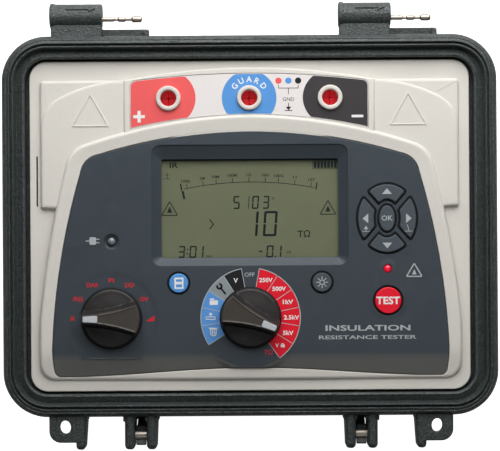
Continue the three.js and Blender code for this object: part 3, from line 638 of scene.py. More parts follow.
# a lighter copy of the knob's black plastic: painted highlight on the top of the bar
KNOB_TOP_SHEEN = moulded("knob_top_painted_sheen", (66, 61, 56), rough=0.42, grain=0.35, depth=0.015, vary=0.1, wear=0.05)
POINTER = moulded("pointer_grey", (196, 201, 205), rough=0.45, grain=0.4, depth=0.01)
RUBBER = moulded("black_rubber", (17, 17, 19), rough=0.66, grain=0.5, depth=0.02, vary=0.08, shine=0.3)
LABEL = moulded("label_ground", (233, 227, 225), rough=0.42, grain=0.5, depth=0.008, vary=0.015, wear=0.01)
COLLAR = moulded("collar_white", (222, 214, 207), rough=0.62, grain=0.5, depth=0.008, vary=0.02, shine=0.2)
# the sockets' faint glow is painted light that brightens the red down in the bores
SOCKET = moulded("socket_red", (232, 26, 40), rough=0.34, grain=0.5, depth=0.01, glow=0.06)
BRASS = moulded("contact_brass", (190, 150, 84), rough=0.3, grain=0.3, depth=0.006, metal=1.0)
STEEL = moulded("pin_steel", (186, 176, 166), rough=0.42, grain=0.35, depth=0.008, metal=1.0, wear=0.06)
RED_KEY = moulded("key_red", (238, 8, 44), rough=0.42, grain=0.4, depth=0.01, vary=0.03)
BLUE_KEY = moulded("key_blue", (84, 152, 222), rough=0.46, grain=0.4, depth=0.01, vary=0.03)
LENS_RED = lens("lamp_red", (222, 20, 52), 0.35)
LENS_CLEAR = lens("lamp_clear", (120, 126, 130), 0.0)
GLASS = window_glass()
DISPLAY = display_ground()
SEGMENT = printed("display_segment", (26, 34, 40), 0.45)
SEGMENT_FAINT = printed("display_segment_faint", (62, 68, 56), 0.45)
BOARD = moulded("board_green", (26, 84, 52), rough=0.4, grain=0.8, vary=0.08)
MODULE = moulded("module_black", (32, 32, 34))
WRAP = moulded("battery_wrap", (34, 66, 120), rough=0.36, grain=1.2, depth=0.02)
INK = {name: printed(f"ink_{name}", tint) for name, tint in (
    ("red", (232, 10, 40)), ("coral", (238, 92, 92)), ("blue", (90, 152, 220)), ("sky", (84, 150, 218)),
    ("black", (22, 22, 26)), ("charcoal", (56, 52, 55)), ("grey", (142, 152, 154)), ("line", (176, 182, 184)),
    ("white", (236, 236, 234)), ("letter", (206, 30, 46)))}


# ---------------------------------------------------------------- case

CASE_HALF = Vector((157.5, 121.2))
CASE_CORNER = 28.5
RIM_TOP = 130.0
LEDGE = 114.2
FIN_TIP = -142.25
HANDLE_FINS = ((60, 66.6), (74, 80.5))
LATCH_FIN = (105.5, 111.5)
PIN_Y, PIN_Z, PIN_RADIUS = -133.6, 117.5, 3.4
HINGE_Y, HINGE_Z, BARREL = 134.05, 121.8, 8.2
BARREL_LENGTH = 33.5
BARREL_STARTS = {"left": -126.7, "right": 56.9}
ARROW_TURN = math.radians(31)   # how far the barrels' raised arrows lean back
SIDES = {"left": -1, "right": 1}


def spans(side, near, far):
    """The two X values in rising order, mirrored to the side."""
    return sorted((side * near, side * far))


def rim(shells):
    """The rim: a rounded outer shoulder with a bead, a groove, a ridge, then a shelf rising to the well."""
    below_top = [(0, -5.4), (0.25, -4), (0.8, -2.8), (1.6, -1.8), (2.2, -1.35), (2.45, -0.85), (2.8, -0.72),
                 (3.1, -0.82), (3.25, -0.9), (4, -0.45), (4.8, -0.1), (5.15, -0.2), (5.45, -1.1), (5.7, -2.5),
                 (6.1, -2.6), (6.35, -2.1), (6.5, -0.8), (6.8, -0.1), (7.3, 0), (7.7, -0.4), (8.1, -1.8),
                 (8.6, -5.4), (9.1, -6), (9.7, -5.9), (13.2, -3.7), (13.8, -3.8), (14.3, -4.3), (14.5, -5.2)]
    section = [(18, 106), (14.5, 103), (3, 104), (1.2, 104.9), (0.5, 107), (0, 110)]
    section += [(inset, RIM_TOP + z) for inset, z in below_top] + [(14.5, LEDGE), (18, LEDGE)]
    shells.loft([level(rounded_rectangle(CASE_HALF.x - inset, CASE_HALF.y - inset, CASE_CORNER - inset, 18), z)
                 for inset, z in section], looped=True)


def tub(shells):
    layers = ((129.6, 93.1, 17.6, 2.5), (131.6, 95.1, 19.6, 3.1), (133.2, 96.7, 20.8, 4.4), (135.5, 99, 22, 9),
              (142.5, 106.2, 25, 106), (142.5, 106.2, 25, 113.7), (134.5, 99.5, 18, 113.7),
              (134.5, 99.5, 18, 110), (137.5, 101.5, 20, 104), (131, 94.5, 18, 10), (130, 93.5, 18, 7))
    shells.loft([level(rounded_rectangle(*size, 14), z) for *size, z in layers])


def fin(shells, low_x, high_x):
    """A front fin: deep at the wall, shallow at its rounded tip, with a swelling where it meets the rim."""
    outline = rounded_polygon([(-116, 126.6), (FIN_TIP, 126.6), (FIN_TIP, 109), (-124, 91), (-107, 82),
                               (-107, 100), (-116, 106)], [0.5, 3.4, 3.0, 5, 3, 2, 2], 6)
    shells.upright(outline, low_x, high_x, (high_x - low_x) * 0.42)
    root = rounded_polygon([(-118, 125.4), (-124.5, 125.4), (-124.5, 104), (-118, 98)], 1.2, 4)
    shells.upright(root, low_x - 1.1, high_x + 1.1, 1.0)


def padlock_lug(shells, side):
    corners = [(side * 105.5, -137.5), (side * 105.5, -116), (side * 128.5, -116), (side * 128.5, -137.5)]
    hole = ellipse(3.5, 4.3, side * 118.2, -127.6, 32)
    shells.sheet(rounded_polygon(corners, [1.2, 1, 1, 7.5]), [(hole, 0.6)], lambda x, y: 126.6, 121, edge=0.9)
    web = rounded_polygon([(-117, 122), (-134, 122), (-118, 108)], 0.8, 3)
    shells.upright(web, side * 125.6 - 1.4, side * 125.6 + 1.4, 0.5)


def hinge_barrel(shells, left):
    right = left + BARREL_LENGTH
    skin = BARREL - 0.5
    shells.lying([(left, BARREL - 1.2), (left + 0.3, BARREL - 0.5), (left + 0.9, BARREL), (left + 2.6, BARREL),
                  (left + 3.2, BARREL - 0.3), (left + 3.5, skin), (right - 1, skin), (right - 0.3, skin - 0.3),
                  (right, skin - 1)], HINGE_Y, HINGE_Z, 72)
    neck = rounded_polygon([(117, 106), (HINGE_Y, 112.5), (HINGE_Y, 126.6), (117, 127)], [1, 2, 2, 1], 4)
    shells.upright(neck, left + 0.8, right - 0.6, 0.8)
    gusset = rounded_polygon([(104, 112), (132, 113), (132, 110), (104, 82)], 1.2, 4)
    shells.upright(gusset, left + 8, right - 8, 2)
    shelf = rounded_polygon([(116, 112), (126, 112), (126, 118), (116, 118)], 1.0, 4)
    shells.upright(shelf, right - 1, right + 29.5, 0.9)
    stop = rounded_polygon([(117, 116), (125.4, 116), (125.4, 123), (117, 123)], 1.2, 4)
    shells.upright(stop, right + 26.2, right + 29.5, 0.9)
    arrow = counter_clockwise(finely([(10.5, -0.7), (25, -0.7), (25, -2.1), (29.5, 0), (25, 2.1), (25, 0.7),
                                      (10.5, 0.7)], 0.7))
    raised = ((skin - 0.4, arrow), (skin + 0.55, arrow), (skin + 0.8, grown(arrow, -0.25)))
    shells.loft([[(left + u, HINGE_Y + radius * math.sin(ARROW_TURN + v / skin),
                   HINGE_Z + radius * math.cos(ARROW_TURN + v / skin)) for u, v in outline]
                 for radius, outline in raised])


def carve(target, tools):
    """Cuts the tools' shells out of the made piece."""
    cutter = made_object("cutters", tools)
    target.modifiers.clear()
    opening = target.modifiers.new("openings", "BOOLEAN")
    opening.operation = "DIFFERENCE"
    opening.solver = "EXACT"
    opening.object = cutter
    cut = bpy.data.meshes.new_from_object(target.evaluated_get(bpy.context.evaluated_depsgraph_get()))
    target.modifiers.clear()
    target.data = cut
    bpy.data.objects.remove(cutter)


def make_walls():
    walls = Shells()
    tub(walls)
    lower = piece("case_walls", walls, [CASE], "case_base")
    tools = Shells()
    for box in (Box("power_inlet"), Box("usb_socket")):
        half = box.size / 2
        window = rounded_rectangle(half.y + 0.3, half.z + 0.3, 1, 3, box.middle.y, box.middle.z)
        tools.upright(window, -146, -124, 0)
    for prefix, depth in (("panel_screw", 6.5), ("foot_", 4)):
        for box in [Box(name) for name in sorted(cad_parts) if name.startswith(prefix)]:
            radius = box.size.x / 2 + 0.3
            tools.turned([(radius, 0), (radius, depth)], box.middle, 32)
    carve(lower, tools)
    lower.data.set_sharp_from_angle(angle=math.radians(32))


def make_rim():
    shell = Shells()
    rim(shell)
    for side in SIDES.values():
        for y in (-70, -25, 25, 70):
            rib = rounded_polygon([(y - 2, 84), (y + 2, 84), (y + 2, 105), (y - 2, 105)], 0.6, 3)
            shell.upright(rib, *spans(side, 141, 152), 1.2)
        for x in (-40, 0, 40):
            rib = rounded_polygon([(103, 84), (115.5, 90), (115.5, 105), (103, 105)], 0.8, 3)
            shell.upright(rib, x + side * 5 - 2, x + side * 5 + 2, 0.6)
    for left in BARREL_STARTS.values():
        hinge_barrel(shell, left)
    for side in SIDES.values():
        for near, far in HANDLE_FINS + (LATCH_FIN,):
            fin(shell, *spans(side, near, far))
        padlock_lug(shell, side)
    piece("case_rim", shell, [CASE], "case_base", sharp=38)


def make_pins():
    """The stepped hinge pins and the pins of the handle."""
    middle = Box("hinge_pin_left").middle
    steps = ((-17.5, 1.55), (7.2, 1.55), (7.7, 1.3), (8, 1.05), (9.8, 1.05), (10.3, 1.5), (10.9, 1.7),
             (14.2, 1.7), (14.7, 1.5), (15.2, 1.1), (18.5, 1.1), (19, 1.7), (19.8, 2.1), (23.6, 2.1),
             (24.6, 1.9), (25.2, 1.4), (25.4, 0.8))
    for word, side in SIDES.items():
        end = BARREL_STARTS[word] + BARREL_LENGTH
        shells = Shells()
        shells.lying([(end + x, radius) for x, radius in steps], middle.y, middle.z)
        piece(f"pin_{word}", shells, [STEEL], f"hinge_pin_{word}")
        shells = Shells()
        near, far = spans(side, 60.9, 80.7)
        edge = PIN_RADIUS - 0.5
        profile = [(near, edge), (near + 0.5, PIN_RADIUS), (far - 0.5, PIN_RADIUS), (far, edge)]
        shells.lying(profile, PIN_Y, PIN_Z, 48)
        piece(f"handle_bar_{word}", shells, [STEEL], f"handle_pin_{word}")


def make_handle():
    """The carrying handle: a ribbed grip on two arms with open hooks that snap over the pins."""
    shells = Shells()
    grip_y, grip_z, full = -115.5, 62.0, 8.5
    mouth = math.radians(50)
    sweep = [mouth + (2 * math.pi - 2 * mouth) * i / 36 for i in range(37)]
    hook = [(PIN_Y + r * math.sin(a), PIN_Z + r * math.cos(a))
            for r, angles in ((6.4, sweep), (PIN_RADIUS + 0.15, sweep[::-1])) for a in angles]
    arm = rounded_polygon([(PIN_Y - 4.6, PIN_Z - 4.3), (PIN_Y + 4, PIN_Z - 4.8), (grip_y + 6, grip_z + 4),
                           (grip_y + 6, grip_z - 5), (grip_y - 6, grip_z - 5), (grip_y - 7, grip_z + 4)],
                          [0.8, 0.8, 5, 3, 3, 5], 5)
    for side in SIDES.values():
        near, far = spans(side, 67.2, 73.4)
        shells.upright(counter_clockwise(hook), near, far, 0.5)
        shells.upright(arm, near, far, 1.1)
    end = 73.9
    taper = [(-end, 3.6), (0.8 - end, 2.2), (3 - end, 1.6), (-48, 1.2), (-45, 0.9), (-42, 0)]
    groove = ((-1.4, 0), (-0.9, 0.6), (0.9, 0.6), (1.4, 0))
    ribs = [(x + dx, dip) for x in (-30, -10, 10, 30) for dx, dip in groove]
    profile = taper + ribs + [(-x, dip) for x, dip in taper[::-1]]
    shells.lying([(x, full - dip) for x, dip in profile], grip_y, grip_z, 48)
    piece("carrying_handle", shells, [CASE_SMOOTH], "handle", "handle")


# ---------------------------------------------------------------- panel

FLANGE, WING, CREASE, DECK, BAND, FASCIA = 121.2, 123.7, 124.5, 125.3, 126.2, 125.4
LABEL_TOP = 125.05
PANEL_UNDER = 115.2
BEND_Y, BEND_DROP, BEND_SOFT = -81.0, 0.16, 1.2
SOCKET_HOLE = 8.1
TERMINALS = {name: Box(f"terminal_collar_{name}").middle for name in ("positive", "guard", "negative")}
MAIN = Box("main_knob").middle
MODE = Box("mode_knob").middle
LAMP_LINE = Box("line_power_led").middle
LAMP_HIGH = Box("high_voltage_led").middle
ROUND_KEYS = {"save": 6.1, "backlight": 6.1, "test": 8.4}
KEY_SPOTS = {name: Box(f"{name}_button").middle for name in ROUND_KEYS}
MAIN_DISC = 35.5
MODE_DISH = 30.5
DISH_DEPTH = 0.45
MODE_BEAD_Y = -84.2
KEY_RING = 1.3                  # black ring seen round every key


def smooth(value, low, high):
    t = min(1.0, max(0.0, (value - low) / (high - low)))
    return t * t * (3 - 2 * t)


def bend(y):
    """How far the lower strip has dropped at y."""
    t = (BEND_Y - y) / BEND_SOFT
    return BEND_DROP * BEND_SOFT * (math.log1p(math.exp(t)) if t < 30 else t)


def fascia_outline(steps=14):
    def foot(x):
        return -93.1 + 2.7 * math.cos(math.pi * x / 121.5)
    bottom = [(120.5 * (1 - i / 24), foot(120.5 * (1 - i / 24))) for i in range(25)]
    return mirrored(bow((0, 60.2), (96.5, 45.4), 3.6, steps) + bow((96.5, 45.4), (107.6, 34), 2.6, steps)
                    + bow((107.6, 34), (126, -76), 3.4, steps) + bow((126, -76), (124.8, -92.4), 0.5, 6)
                    + bow((124.8, -92.4), (120.5, foot(120.5)), 1.1, 6) + bottom)


def band_outline(steps=14):
    return mirrored(bow((0, 71.1), (105, 52.6), 4.2, steps) + bow((105, 52.6), (117.8, 37.6), 2.8, steps)
                    + bow((117.8, 37.6), (134.5, -62), 1.8, steps) + [(134.6, -75), (134.6, -87)]
                    + bow((134.6, -87), (124, -98.6), 3.2, steps) + [(x, -98.6) for x in range(110, -1, -10)])


def label_outline(grow):
    outline = mirrored(bow((0, 96.8), (72, 92.6), 1.05, 12) + bow((72, 92.6), (75.7, 89), 0.9, 6)
                       + [(75.7, 62.2)] + bow((75.7, 62.2), (0, 70.9), -2.1, 14))
    return grown(outline, grow) if grow else outline


def make_wing(shells, side):
    """A wing of the panel with its curved crease and raised triangle."""
    def flipped(points):
        return counter_clockwise([(side * x, y) for x, y in points])
    under_band = [(118.5, 11.2), (113, 35.5), (106, 44.5), (96, 50.5), (70, 57)]
    wing = rounded_polygon(flipped(under_band + [(70, 92.9), (133.4, 92.9), (133.4, 11.2)]), 2, 5)
    shells.slab(wing, PANEL_UNDER + 1, WING, top=1.5, steps=6, spread=1.4)
    crease = (bow((76, 93.2), (80, 92.9), 0.05, 2) + bow((80, 92.9), (119.3, 83), 2.2, 12)[1:]
              + bow((119.3, 83), (132.6, 63), 3.6, 10)[1:] + [(132.6, 12.4)] + under_band + [(76, 57)])
    shells.slab(finely(flipped(crease), 3), WING - 2, CREASE, top=0.78, steps=6, spread=2.8)
    middle = side * 101.2
    triangle = rounded_polygon([(middle - 12, 63.6), (middle + 12, 63.6), (middle, 84.8)], 0.5, 3)
    inner = rounded_polygon([(middle - 10.9, 64.25), (middle + 10.9, 64.25), (middle, 83.4)], 0.4, 3)
    shells.sheet(triangle, [(inner, 0.1)], lambda x, y: CREASE + 0.45, CREASE - 0.3, edge=0.12)


def make_panel():
    shells = Shells()
    opening = [(60, 50.5), (99, 40.5), (111.5, -1), (121.5, -60), (119.5, -91)]
    opening = rounded_polygon([(-x, y) for x, y in opening] + opening[::-1], 3, 3)
    slot = rounded_rectangle(0.5, 16, 0.4, 3, -135.6, 28.9)
    holes = [(opening, 0.1), (slot, 0.15)]
    holes += [(circle(SOCKET_HOLE, spot), 0.15) for spot in TERMINALS.values()]
    shells.sheet(rounded_rectangle(140.2, 105.2, 11, 12), holes, lambda x, y: FLANGE, PANEL_UNDER, edge=0.6)
    for side in SIDES.values():
        make_wing(shells, side)
    deck = mirrored(bow((0, 100.6), (80, 92.9), 1.95, 18) + [(80, 56), (0, 56)])
    shells.sheet(deck, [(label_outline(0.25), 0.2)], lambda x, y: DECK, PANEL_UNDER + 1, edge=1.2, edge_steps=5)
    inner_edge = finely(grown(fascia_outline(), 0.3), 3)

    def band_level(x, y):
        """The band slopes gently down towards the fascia."""
        away = min(math.hypot(x - px, y - py) for px, py in inner_edge)
        return BAND - bend(y) - 0.75 * (1 - smooth(away, 0, 9))
    shells.sheet(finely(band_outline(), 3), [(inner_edge, 0.6)], band_level, PANEL_UNDER + 1, edge=2.7,
                 edge_steps=7, grid=2.6)
    for end in ("front", "rear"):
        for word in SIDES:
            spot = Box(f"panel_screw_{end}_{word}").middle
            shells.turned([(5.5, 14.3), (5.5, 117), (1.7, 117), (1.7, 14.3)], spot, 32, looped=True)
    piece("panel", shells, [CREAM], "front_panel", sharp=40)


def coloured_field(spot, keep, reach):
    """The part of the label that keep allows, its other sides arcs about the terminal."""
    edge = finely(label_outline(-0.35), 0.8)
    count = len(edge)
    kept = [keep(p) for p in edge]
    first = next(i for i in range(count) if kept[i] and not kept[i - 1])
    outline = []
    for i in range(first, first + count):
        p, q = edge[i % count], edge[(i + 1) % count]
        if kept[i % count]:
            outline.append(p)
        if kept[i % count] and not keep(q):
            leaving = math.atan2(p[1] - spot.y, p[0] - spot.x)
            back = edge[next(k for k in range(i + 1, i + 1 + count) if kept[k % count]) % count]
            sweep = (math.atan2(back[1] - spot.y, back[0] - spot.x) - leaving) % (2 * math.pi)
            outline += [around(spot, reach, leaving + sweep * k / 30) for k in range(1, 30)]
    return outline


def make_label():
    """The terminal strip: coloured fields, polarity signs, and a small diagram of the sockets."""
    shells = Shells()
    coral, sky, charcoal, white, black = range(1, 6)
    holes = [(circle(SOCKET_HOLE, spot), 0.02) for spot in TERMINALS.values()]
    shells.sheet(label_outline(0), holes, lambda x, y: LABEL_TOP, LABEL_TOP - 2.5, edge=0.12, edge_steps=2)
    plus, guard, minus = TERMINALS.values()
    reach = 17.4

    def near(p, spot):
        return math.hypot(p[0] - spot.x, p[1] - spot.y) <= reach
    for spot, slot, keep in ((plus, coral, lambda p: p[0] < plus.x or near(p, plus)),
                             (guard, sky, lambda p: near(p, guard)),
                             (minus, charcoal, lambda p: p[0] > minus.x or near(p, minus))):
        shells.print_area(coloured_field(spot, keep, reach), [circle(7.95, spot)], LABEL_TOP, slot)
    signs = Pen(shells, LABEL_TOP + PRINT, white)
    signs.patch(oblong(plus.x - 18.6, plus.y - 11.6, 3.7, 1.0), 0.0674)
    signs.patch(oblong(plus.x - 18.6, plus.y - 11.6, 1.0, 3.7), 0.062)
    signs.patch(oblong(minus.x + 17.3, minus.y - 12.1, 3.7, 0.8), 0.06)
    for i, letter in enumerate("GUARD"):
        angle = math.radians(51 - 102 * i / 4)
        x, y = around(guard, 11.8, angle + math.pi / 2)
        signs.text(letter, 3.7, x, y, 0.1, turn=angle)
    for x, slot in ((18.7, coral), (25.0, sky), (31.2, black)):
        Pen(shells, LABEL_TOP, slot).patch(circle(2.0, (x, 92.0), 32))
    ink = Pen(shells, LABEL_TOP, black)
    ink.line([(18.7, 89.2), (18.7, 87.3), (31.2, 87.3), (31.2, 89.2)], 0.4)
    ink.line([(25, 87.3), (25, 83.6)], 0.4)
    ink.text("GND", 2.4, 25, 80.2)
    ink.line([(25, 77.6), (25, 74.2)], 0.5)
    ink.patch([(23.3, 75.4), (26.7, 75.4), (25, 73.2)])
    ink.line([(22.9, 73.0), (27.1, 73.0)], 0.5)
    inks = [LABEL] + [INK[word] for word in ("coral", "sky", "charcoal", "white", "black")]
    piece("terminal_strip", shells, inks, "terminal_label", flat=True)


def make_terminals():
    for name, spot in TERMINALS.items():
        collar, socket, contact = Shells(), Shells(), Shells()
        collar.turned([(5.2, 117), (7.9, 117), (7.9, 126.3), (7.7, 126.9), (7.3, 127.2), (6.9, 127.3),
                       (6.1, 127.3), (5.6, 127.2), (5.25, 126.9), (5.1, 126.4), (5.1, 118)], spot, looped=True)
        socket.turned([(0.01, 80), (6.3, 80), (6.8, 80.5), (6.8, 116.7), (4.95, 116.7), (4.9, 116.2),
                       (4.9, 86.5), (4.5, 86), (2.3, 86), (2.3, 83), (0.01, 83)], spot)
        socket.turned([(3.2, 84), (3.2, 112), (4.95, 112), (4.95, 84)], spot, looped=True)
        for i in range(4):
            flap = sector(spot, 0.7, 4.93, 92 + 90 * i, 178 + 90 * i, 12)
            socket.slab(flap, 115.6, 118.4, top=0.4, steps=3)
        contact.turned([(0.01, 83.3), (2, 83.3), (2, 110.6), (1.7, 111.5), (1, 112), (0.01, 112)], spot, 32)
        piece(f"collar_{name}", collar, [COLLAR], f"terminal_collar_{name}")
        piece(f"socket_{name}", socket, [SOCKET], f"terminal_insulator_{name}")
        piece(f"contact_{name}", contact, [BRASS], f"terminal_contact_{name}")


# ---------------------------------------------------------------- fascia

PAD = Vector((87.2, 4.0))
PAD_OUTER, PAD_INNER = Vector((18.5, 21.65)), Vector((8.5, 12.3))
PAD_OK = Vector((5.05, 8.25))
PAD_DIAGONAL = math.radians(49)
PAD_HALF_GAP = 2.55
ARROWS = ("right", "up", "left", "down")
GLASS_HALF = Vector((56.4, 31.5))
DISPLAY_Y = 11.1
BEZEL_X, BEZEL_TOP, BEZEL_BOTTOM = 62.2, 51.2, -24.9
GLASS_LEVEL = 120.9
SHAFT_HOLE = 4.4
SWELL_SPOT, SWELL_REACH = (87.6, -42.0), 22    # round the raised shape of the test key


def arrow_outline(turn, grow=0.0, steps=16, corner=1.6):
    """A quarter of an oval ring, its straight ends parallel to the diagonals, with rounded corners."""
    def arc(half):
        across, up = half.x * math.sin(PAD_DIAGONAL), half.y * math.cos(PAD_DIAGONAL)
        aside = math.asin((PAD_HALF_GAP - grow) / math.hypot(across, up))
        on_diagonal = math.atan2(across, up)
        spread = math.pi / 2 - (on_diagonal + aside) if turn % 2 else on_diagonal - aside
        angles = [turn * math.pi / 2 + spread * (2 * i / steps - 1) for i in range(steps + 1)]
        return [(PAD.x + half.x * math.cos(a), PAD.y + half.y * math.sin(a)) for a in angles]
    more = Vector((grow, grow))
    return softened(counter_clockwise(arc(PAD_OUTER + more) + arc(PAD_INNER - more)[::-1]), corner + grow)


def softened(outline, radius):
    """The outline with its sharp corners rounded off: cut by the radius, then smoothed."""
    count = len(outline)
    points = []
    for i, p in enumerate(outline):
        a, b, c = Vector(outline[i - 1]), Vector(p), Vector(outline[(i + 1) % count])
        if (b - a).angle(c - b) > 0.6:
            start = b + (a - b).normalized() * min(radius, (a - b).length * 0.95)
            end = b + (c - b).normalized() * min(radius, (c - b).length * 0.95)
            points += [tuple(start * (1 - t) ** 2 + b * 2 * t * (1 - t) + end * t * t)
                       for t in (step / 6 for step in range(7))]
        else:
            points.append(tuple(b))
    return counter_clockwise(points)


def ok_outline(grow=0.0):
    return ellipse(PAD_OK.x + grow, PAD_OK.y + grow, PAD.x, PAD.y, 48)


def fascia_level(x, y):
    """The height of the fascia: a level disc under the main knob, a shallow dish under the mode knob,
    a raised drop shape round the test key and its lamp, and the sloping lower strip."""
    sloped = bend(y)
    from_main = math.hypot(x - MAIN.x, y - MAIN.y)
    sloped *= smooth(from_main, MAIN_DISC - 3.4, MAIN_DISC + 0.6)
    across = abs(x - MODE.x)
    from_mode = math.hypot(across, y - MODE.y)
    dish = (1 - smooth(from_mode, MODE_DISH - 3.4, MODE_DISH)) * smooth(y, -84.6, -83.4)
    sloped *= 1 - dish
    bead = math.exp(-((y - MODE_BEAD_Y) / 0.5) ** 2) * (1 - smooth(across, 17, 21))
    test, lamp = KEY_SPOTS["test"], LAMP_HIGH
    t = min(1.0, max(0.0, (y - test.y) / (lamp.y - test.y)))
    away = math.hypot(x - test.x, y - (test.y + t * (lamp.y - test.y)))
    swell = 1 - smooth(away, 10.9 - 6.4 * t, 12.1 - 6.4 * t)
    return FASCIA - sloped - DISH_DEPTH * dish + 0.4 * swell + 0.36 * bead


def bezel_outline(half_x, low_y, high_y, corner):
    return rounded_rectangle(half_x, (high_y - low_y) / 2, corner, 8, 0, (high_y + low_y) / 2)


def make_fascia():
    shells = Shells()
    glass = bezel_outline(GLASS_HALF.x, DISPLAY_Y - GLASS_HALF.y, DISPLAY_Y + GLASS_HALF.y, 1.5)
    holes = [(bezel_outline(BEZEL_X, BEZEL_BOTTOM, BEZEL_TOP, 5.5), 0.7, glass, GLASS_LEVEL)]
    holes += [(arrow_outline(turn, KEY_RING), 0.25) for turn in range(4)] + [(ok_outline(KEY_RING), 0.25)]
    holes += [(circle(radius + KEY_RING, KEY_SPOTS[name]), 0.25) for name, radius in ROUND_KEYS.items()]
    holes += [(circle(SHAFT_HOLE, spot, 32), 0.2) for spot in (MAIN, MODE)]
    holes.append((circle(4.7, LAMP_LINE, 40), 0.5, circle(2.9, LAMP_LINE, 40), 123.6))
    holes.append((circle(2.75, LAMP_HIGH, 32), 0.3))

    def busy(p):
        """Where the surface is not flat and needs a fine grid."""
        from_main = math.hypot(p[0] - MAIN.x, p[1] - MAIN.y)
        from_mode = math.hypot(p[0] - MODE.x, p[1] - MODE.y)
        return (p[1] < -76 or 25 < from_mode < 32 or math.dist(p, SWELL_SPOT) < SWELL_REACH
                or (p[1] < -70 and from_main < 38))
    beads = [[(MODE.x + 1.4 * i, MODE_BEAD_Y + 0.55 * row) for i in range(-15, 16)] for row in range(-2, 3)]
    shells.sheet(finely(fascia_outline(), 2.5), holes, fascia_level, 121.0, edge=0.5, grid=1.3, where=busy,
                 creases=beads)
    piece("fascia_plate", shells, [SLATE], "fascia", sharp=50)


# ---------------------------------------------------------------- prints on the fascia

PRINT_INKS = ("letter", "red", "blue", "black", "grey", "line", "white")
LETTER, RED, BLUE, BLACK, GREY, LINE, WHITE = range(7)
DIAL_LEVEL = FASCIA - 0.02
MARKS_LEVEL = FASCIA + 0.03     # on top of the coloured fields


def main_dial(shells):
    """The coloured ring of the main knob with its voltages and icons."""
    inner, outer = 19.3, 31.7
    cuts_left = (212.7, 189.3, 168.0, 147.0, 122.5, 100.3)
    cuts_right = (79.6, 57.0, 34.0, 11.8, -10.0, -32.0, -54.6)
    fills = [*zip(cuts_left, cuts_left[1:], (BLUE, BLUE, BLUE, GREY, BLACK))]
    fills += [(a, b, RED) for a, b in zip(cuts_right, cuts_right[1:])]
    for start, end, slot in fills:
        Pen(shells, DIAL_LEVEL, slot).patch(sector(MAIN, inner, outer - 0.2, end, start, 12), 0.04)
    lines = Pen(shells, DIAL_LEVEL, LINE)
    for cuts in (cuts_left, cuts_right):
        lines.patch(sector(MAIN, outer - 0.3, outer + 0.25, cuts[-1] - 0.4, cuts[0] + 0.4, 48), 0.06)
        for angle in cuts:
            lines.line([around(MAIN, r, math.radians(angle)) for r in (inner, outer)], 0.42)

    def mark(angle, slot=WHITE, radius=25.4):
        return Pen(shells, MARKS_LEVEL, slot, around(MAIN, radius, math.radians(angle)))
    for angle, word, width in ((67.5, "250V", 8.6), (45, "500V", 8.6), (22.5, "1kV", 6.6), (0, "2.5kV", 9.8),
                               (-22.5, "5kV", 6.8)):
        mark(angle, WHITE, 25.8 if angle else 26.0).text(word, 2.7, bold=0.11, width=width)
    mark(111.5).text("V", 2.9, bold=0.11)
    mark(91, LINE, 27.4).text("OFF", 2.6, bold=0.03, width=6.4)
    Pen(shells, MARKS_LEVEL, LETTER).text("TΩ", 3.0, 11.2, -80.6, 0.06, 5.6)
    wrench = mark(134.5, BLACK)
    wrench.line([(1.7, -2.6), (-1.1, 0.9)], 1.2)
    wrench.patch(sector((-1.9, 1.9), 0.8, 2.1, 150, 460, 14), 0.06)
    folder = mark(156.5)
    folder.patch(oblong(0, -0.45, 2.6, 1.45))
    folder.patch(oblong(-1.2, 1.75, 1.4, 0.45))
    port = mark(179)
    port.line(oblong(0, -0.6, 3, 0.8), 0.45, closed=True)
    port.line([(0, 0.2), (0, 2)], 0.5)
    port.patch([(-1.3, 1.6), (1.3, 1.6), (0, 3)])
    bin_mark = mark(201)
    bin_mark.line([(-2, 1.9), (-1.4, -2.2), (1.4, -2.2), (2, 1.9)], 0.6, closed=True)
    bin_mark.line([(-2.6, 2.5), (2.6, 2.5)], 0.6)
    for x in (-0.5, 0.5):
        bin_mark.line([(x, -1.4), (x, 1.1)], 0.4)
    lock = mark(-44, WHITE, 25.6)
    lock.text("V", 2.5, -1.7, 0, 0.1)
    lock.patch(oblong(1.9, -0.4, 1.3, 0.9))
    lock.patch(sector((1.9, 0.5), 0.45, 0.95, 0, 180, 10))


def mode_dial(shells):
    """The functions round the mode knob and the ramp beside them."""
    z = FASCIA - DISH_DEPTH + 0.02
    for angle, word, width, r in ((180, "IR", 3.2, 24.6), (150, "IR(t)", 6.0, 24.4), (119, "DAR", 7.6, 24.4),
                                  (90, "PI", 3.4, 24.2), (61, "DD", 5.8, 24.2), (30, "DV", 5.4, 24.2)):
        spot = around(MODE, r, math.radians(angle))
        Pen(shells, z, LETTER, spot).text(word, 2.75, bold=0.08, width=width)
    Pen(shells, z, LETTER, (MODE.x + 24.6, MODE.y - 0.6)).patch([(-3, -1.3), (2.9, -1.3), (2.9, 2.3)])


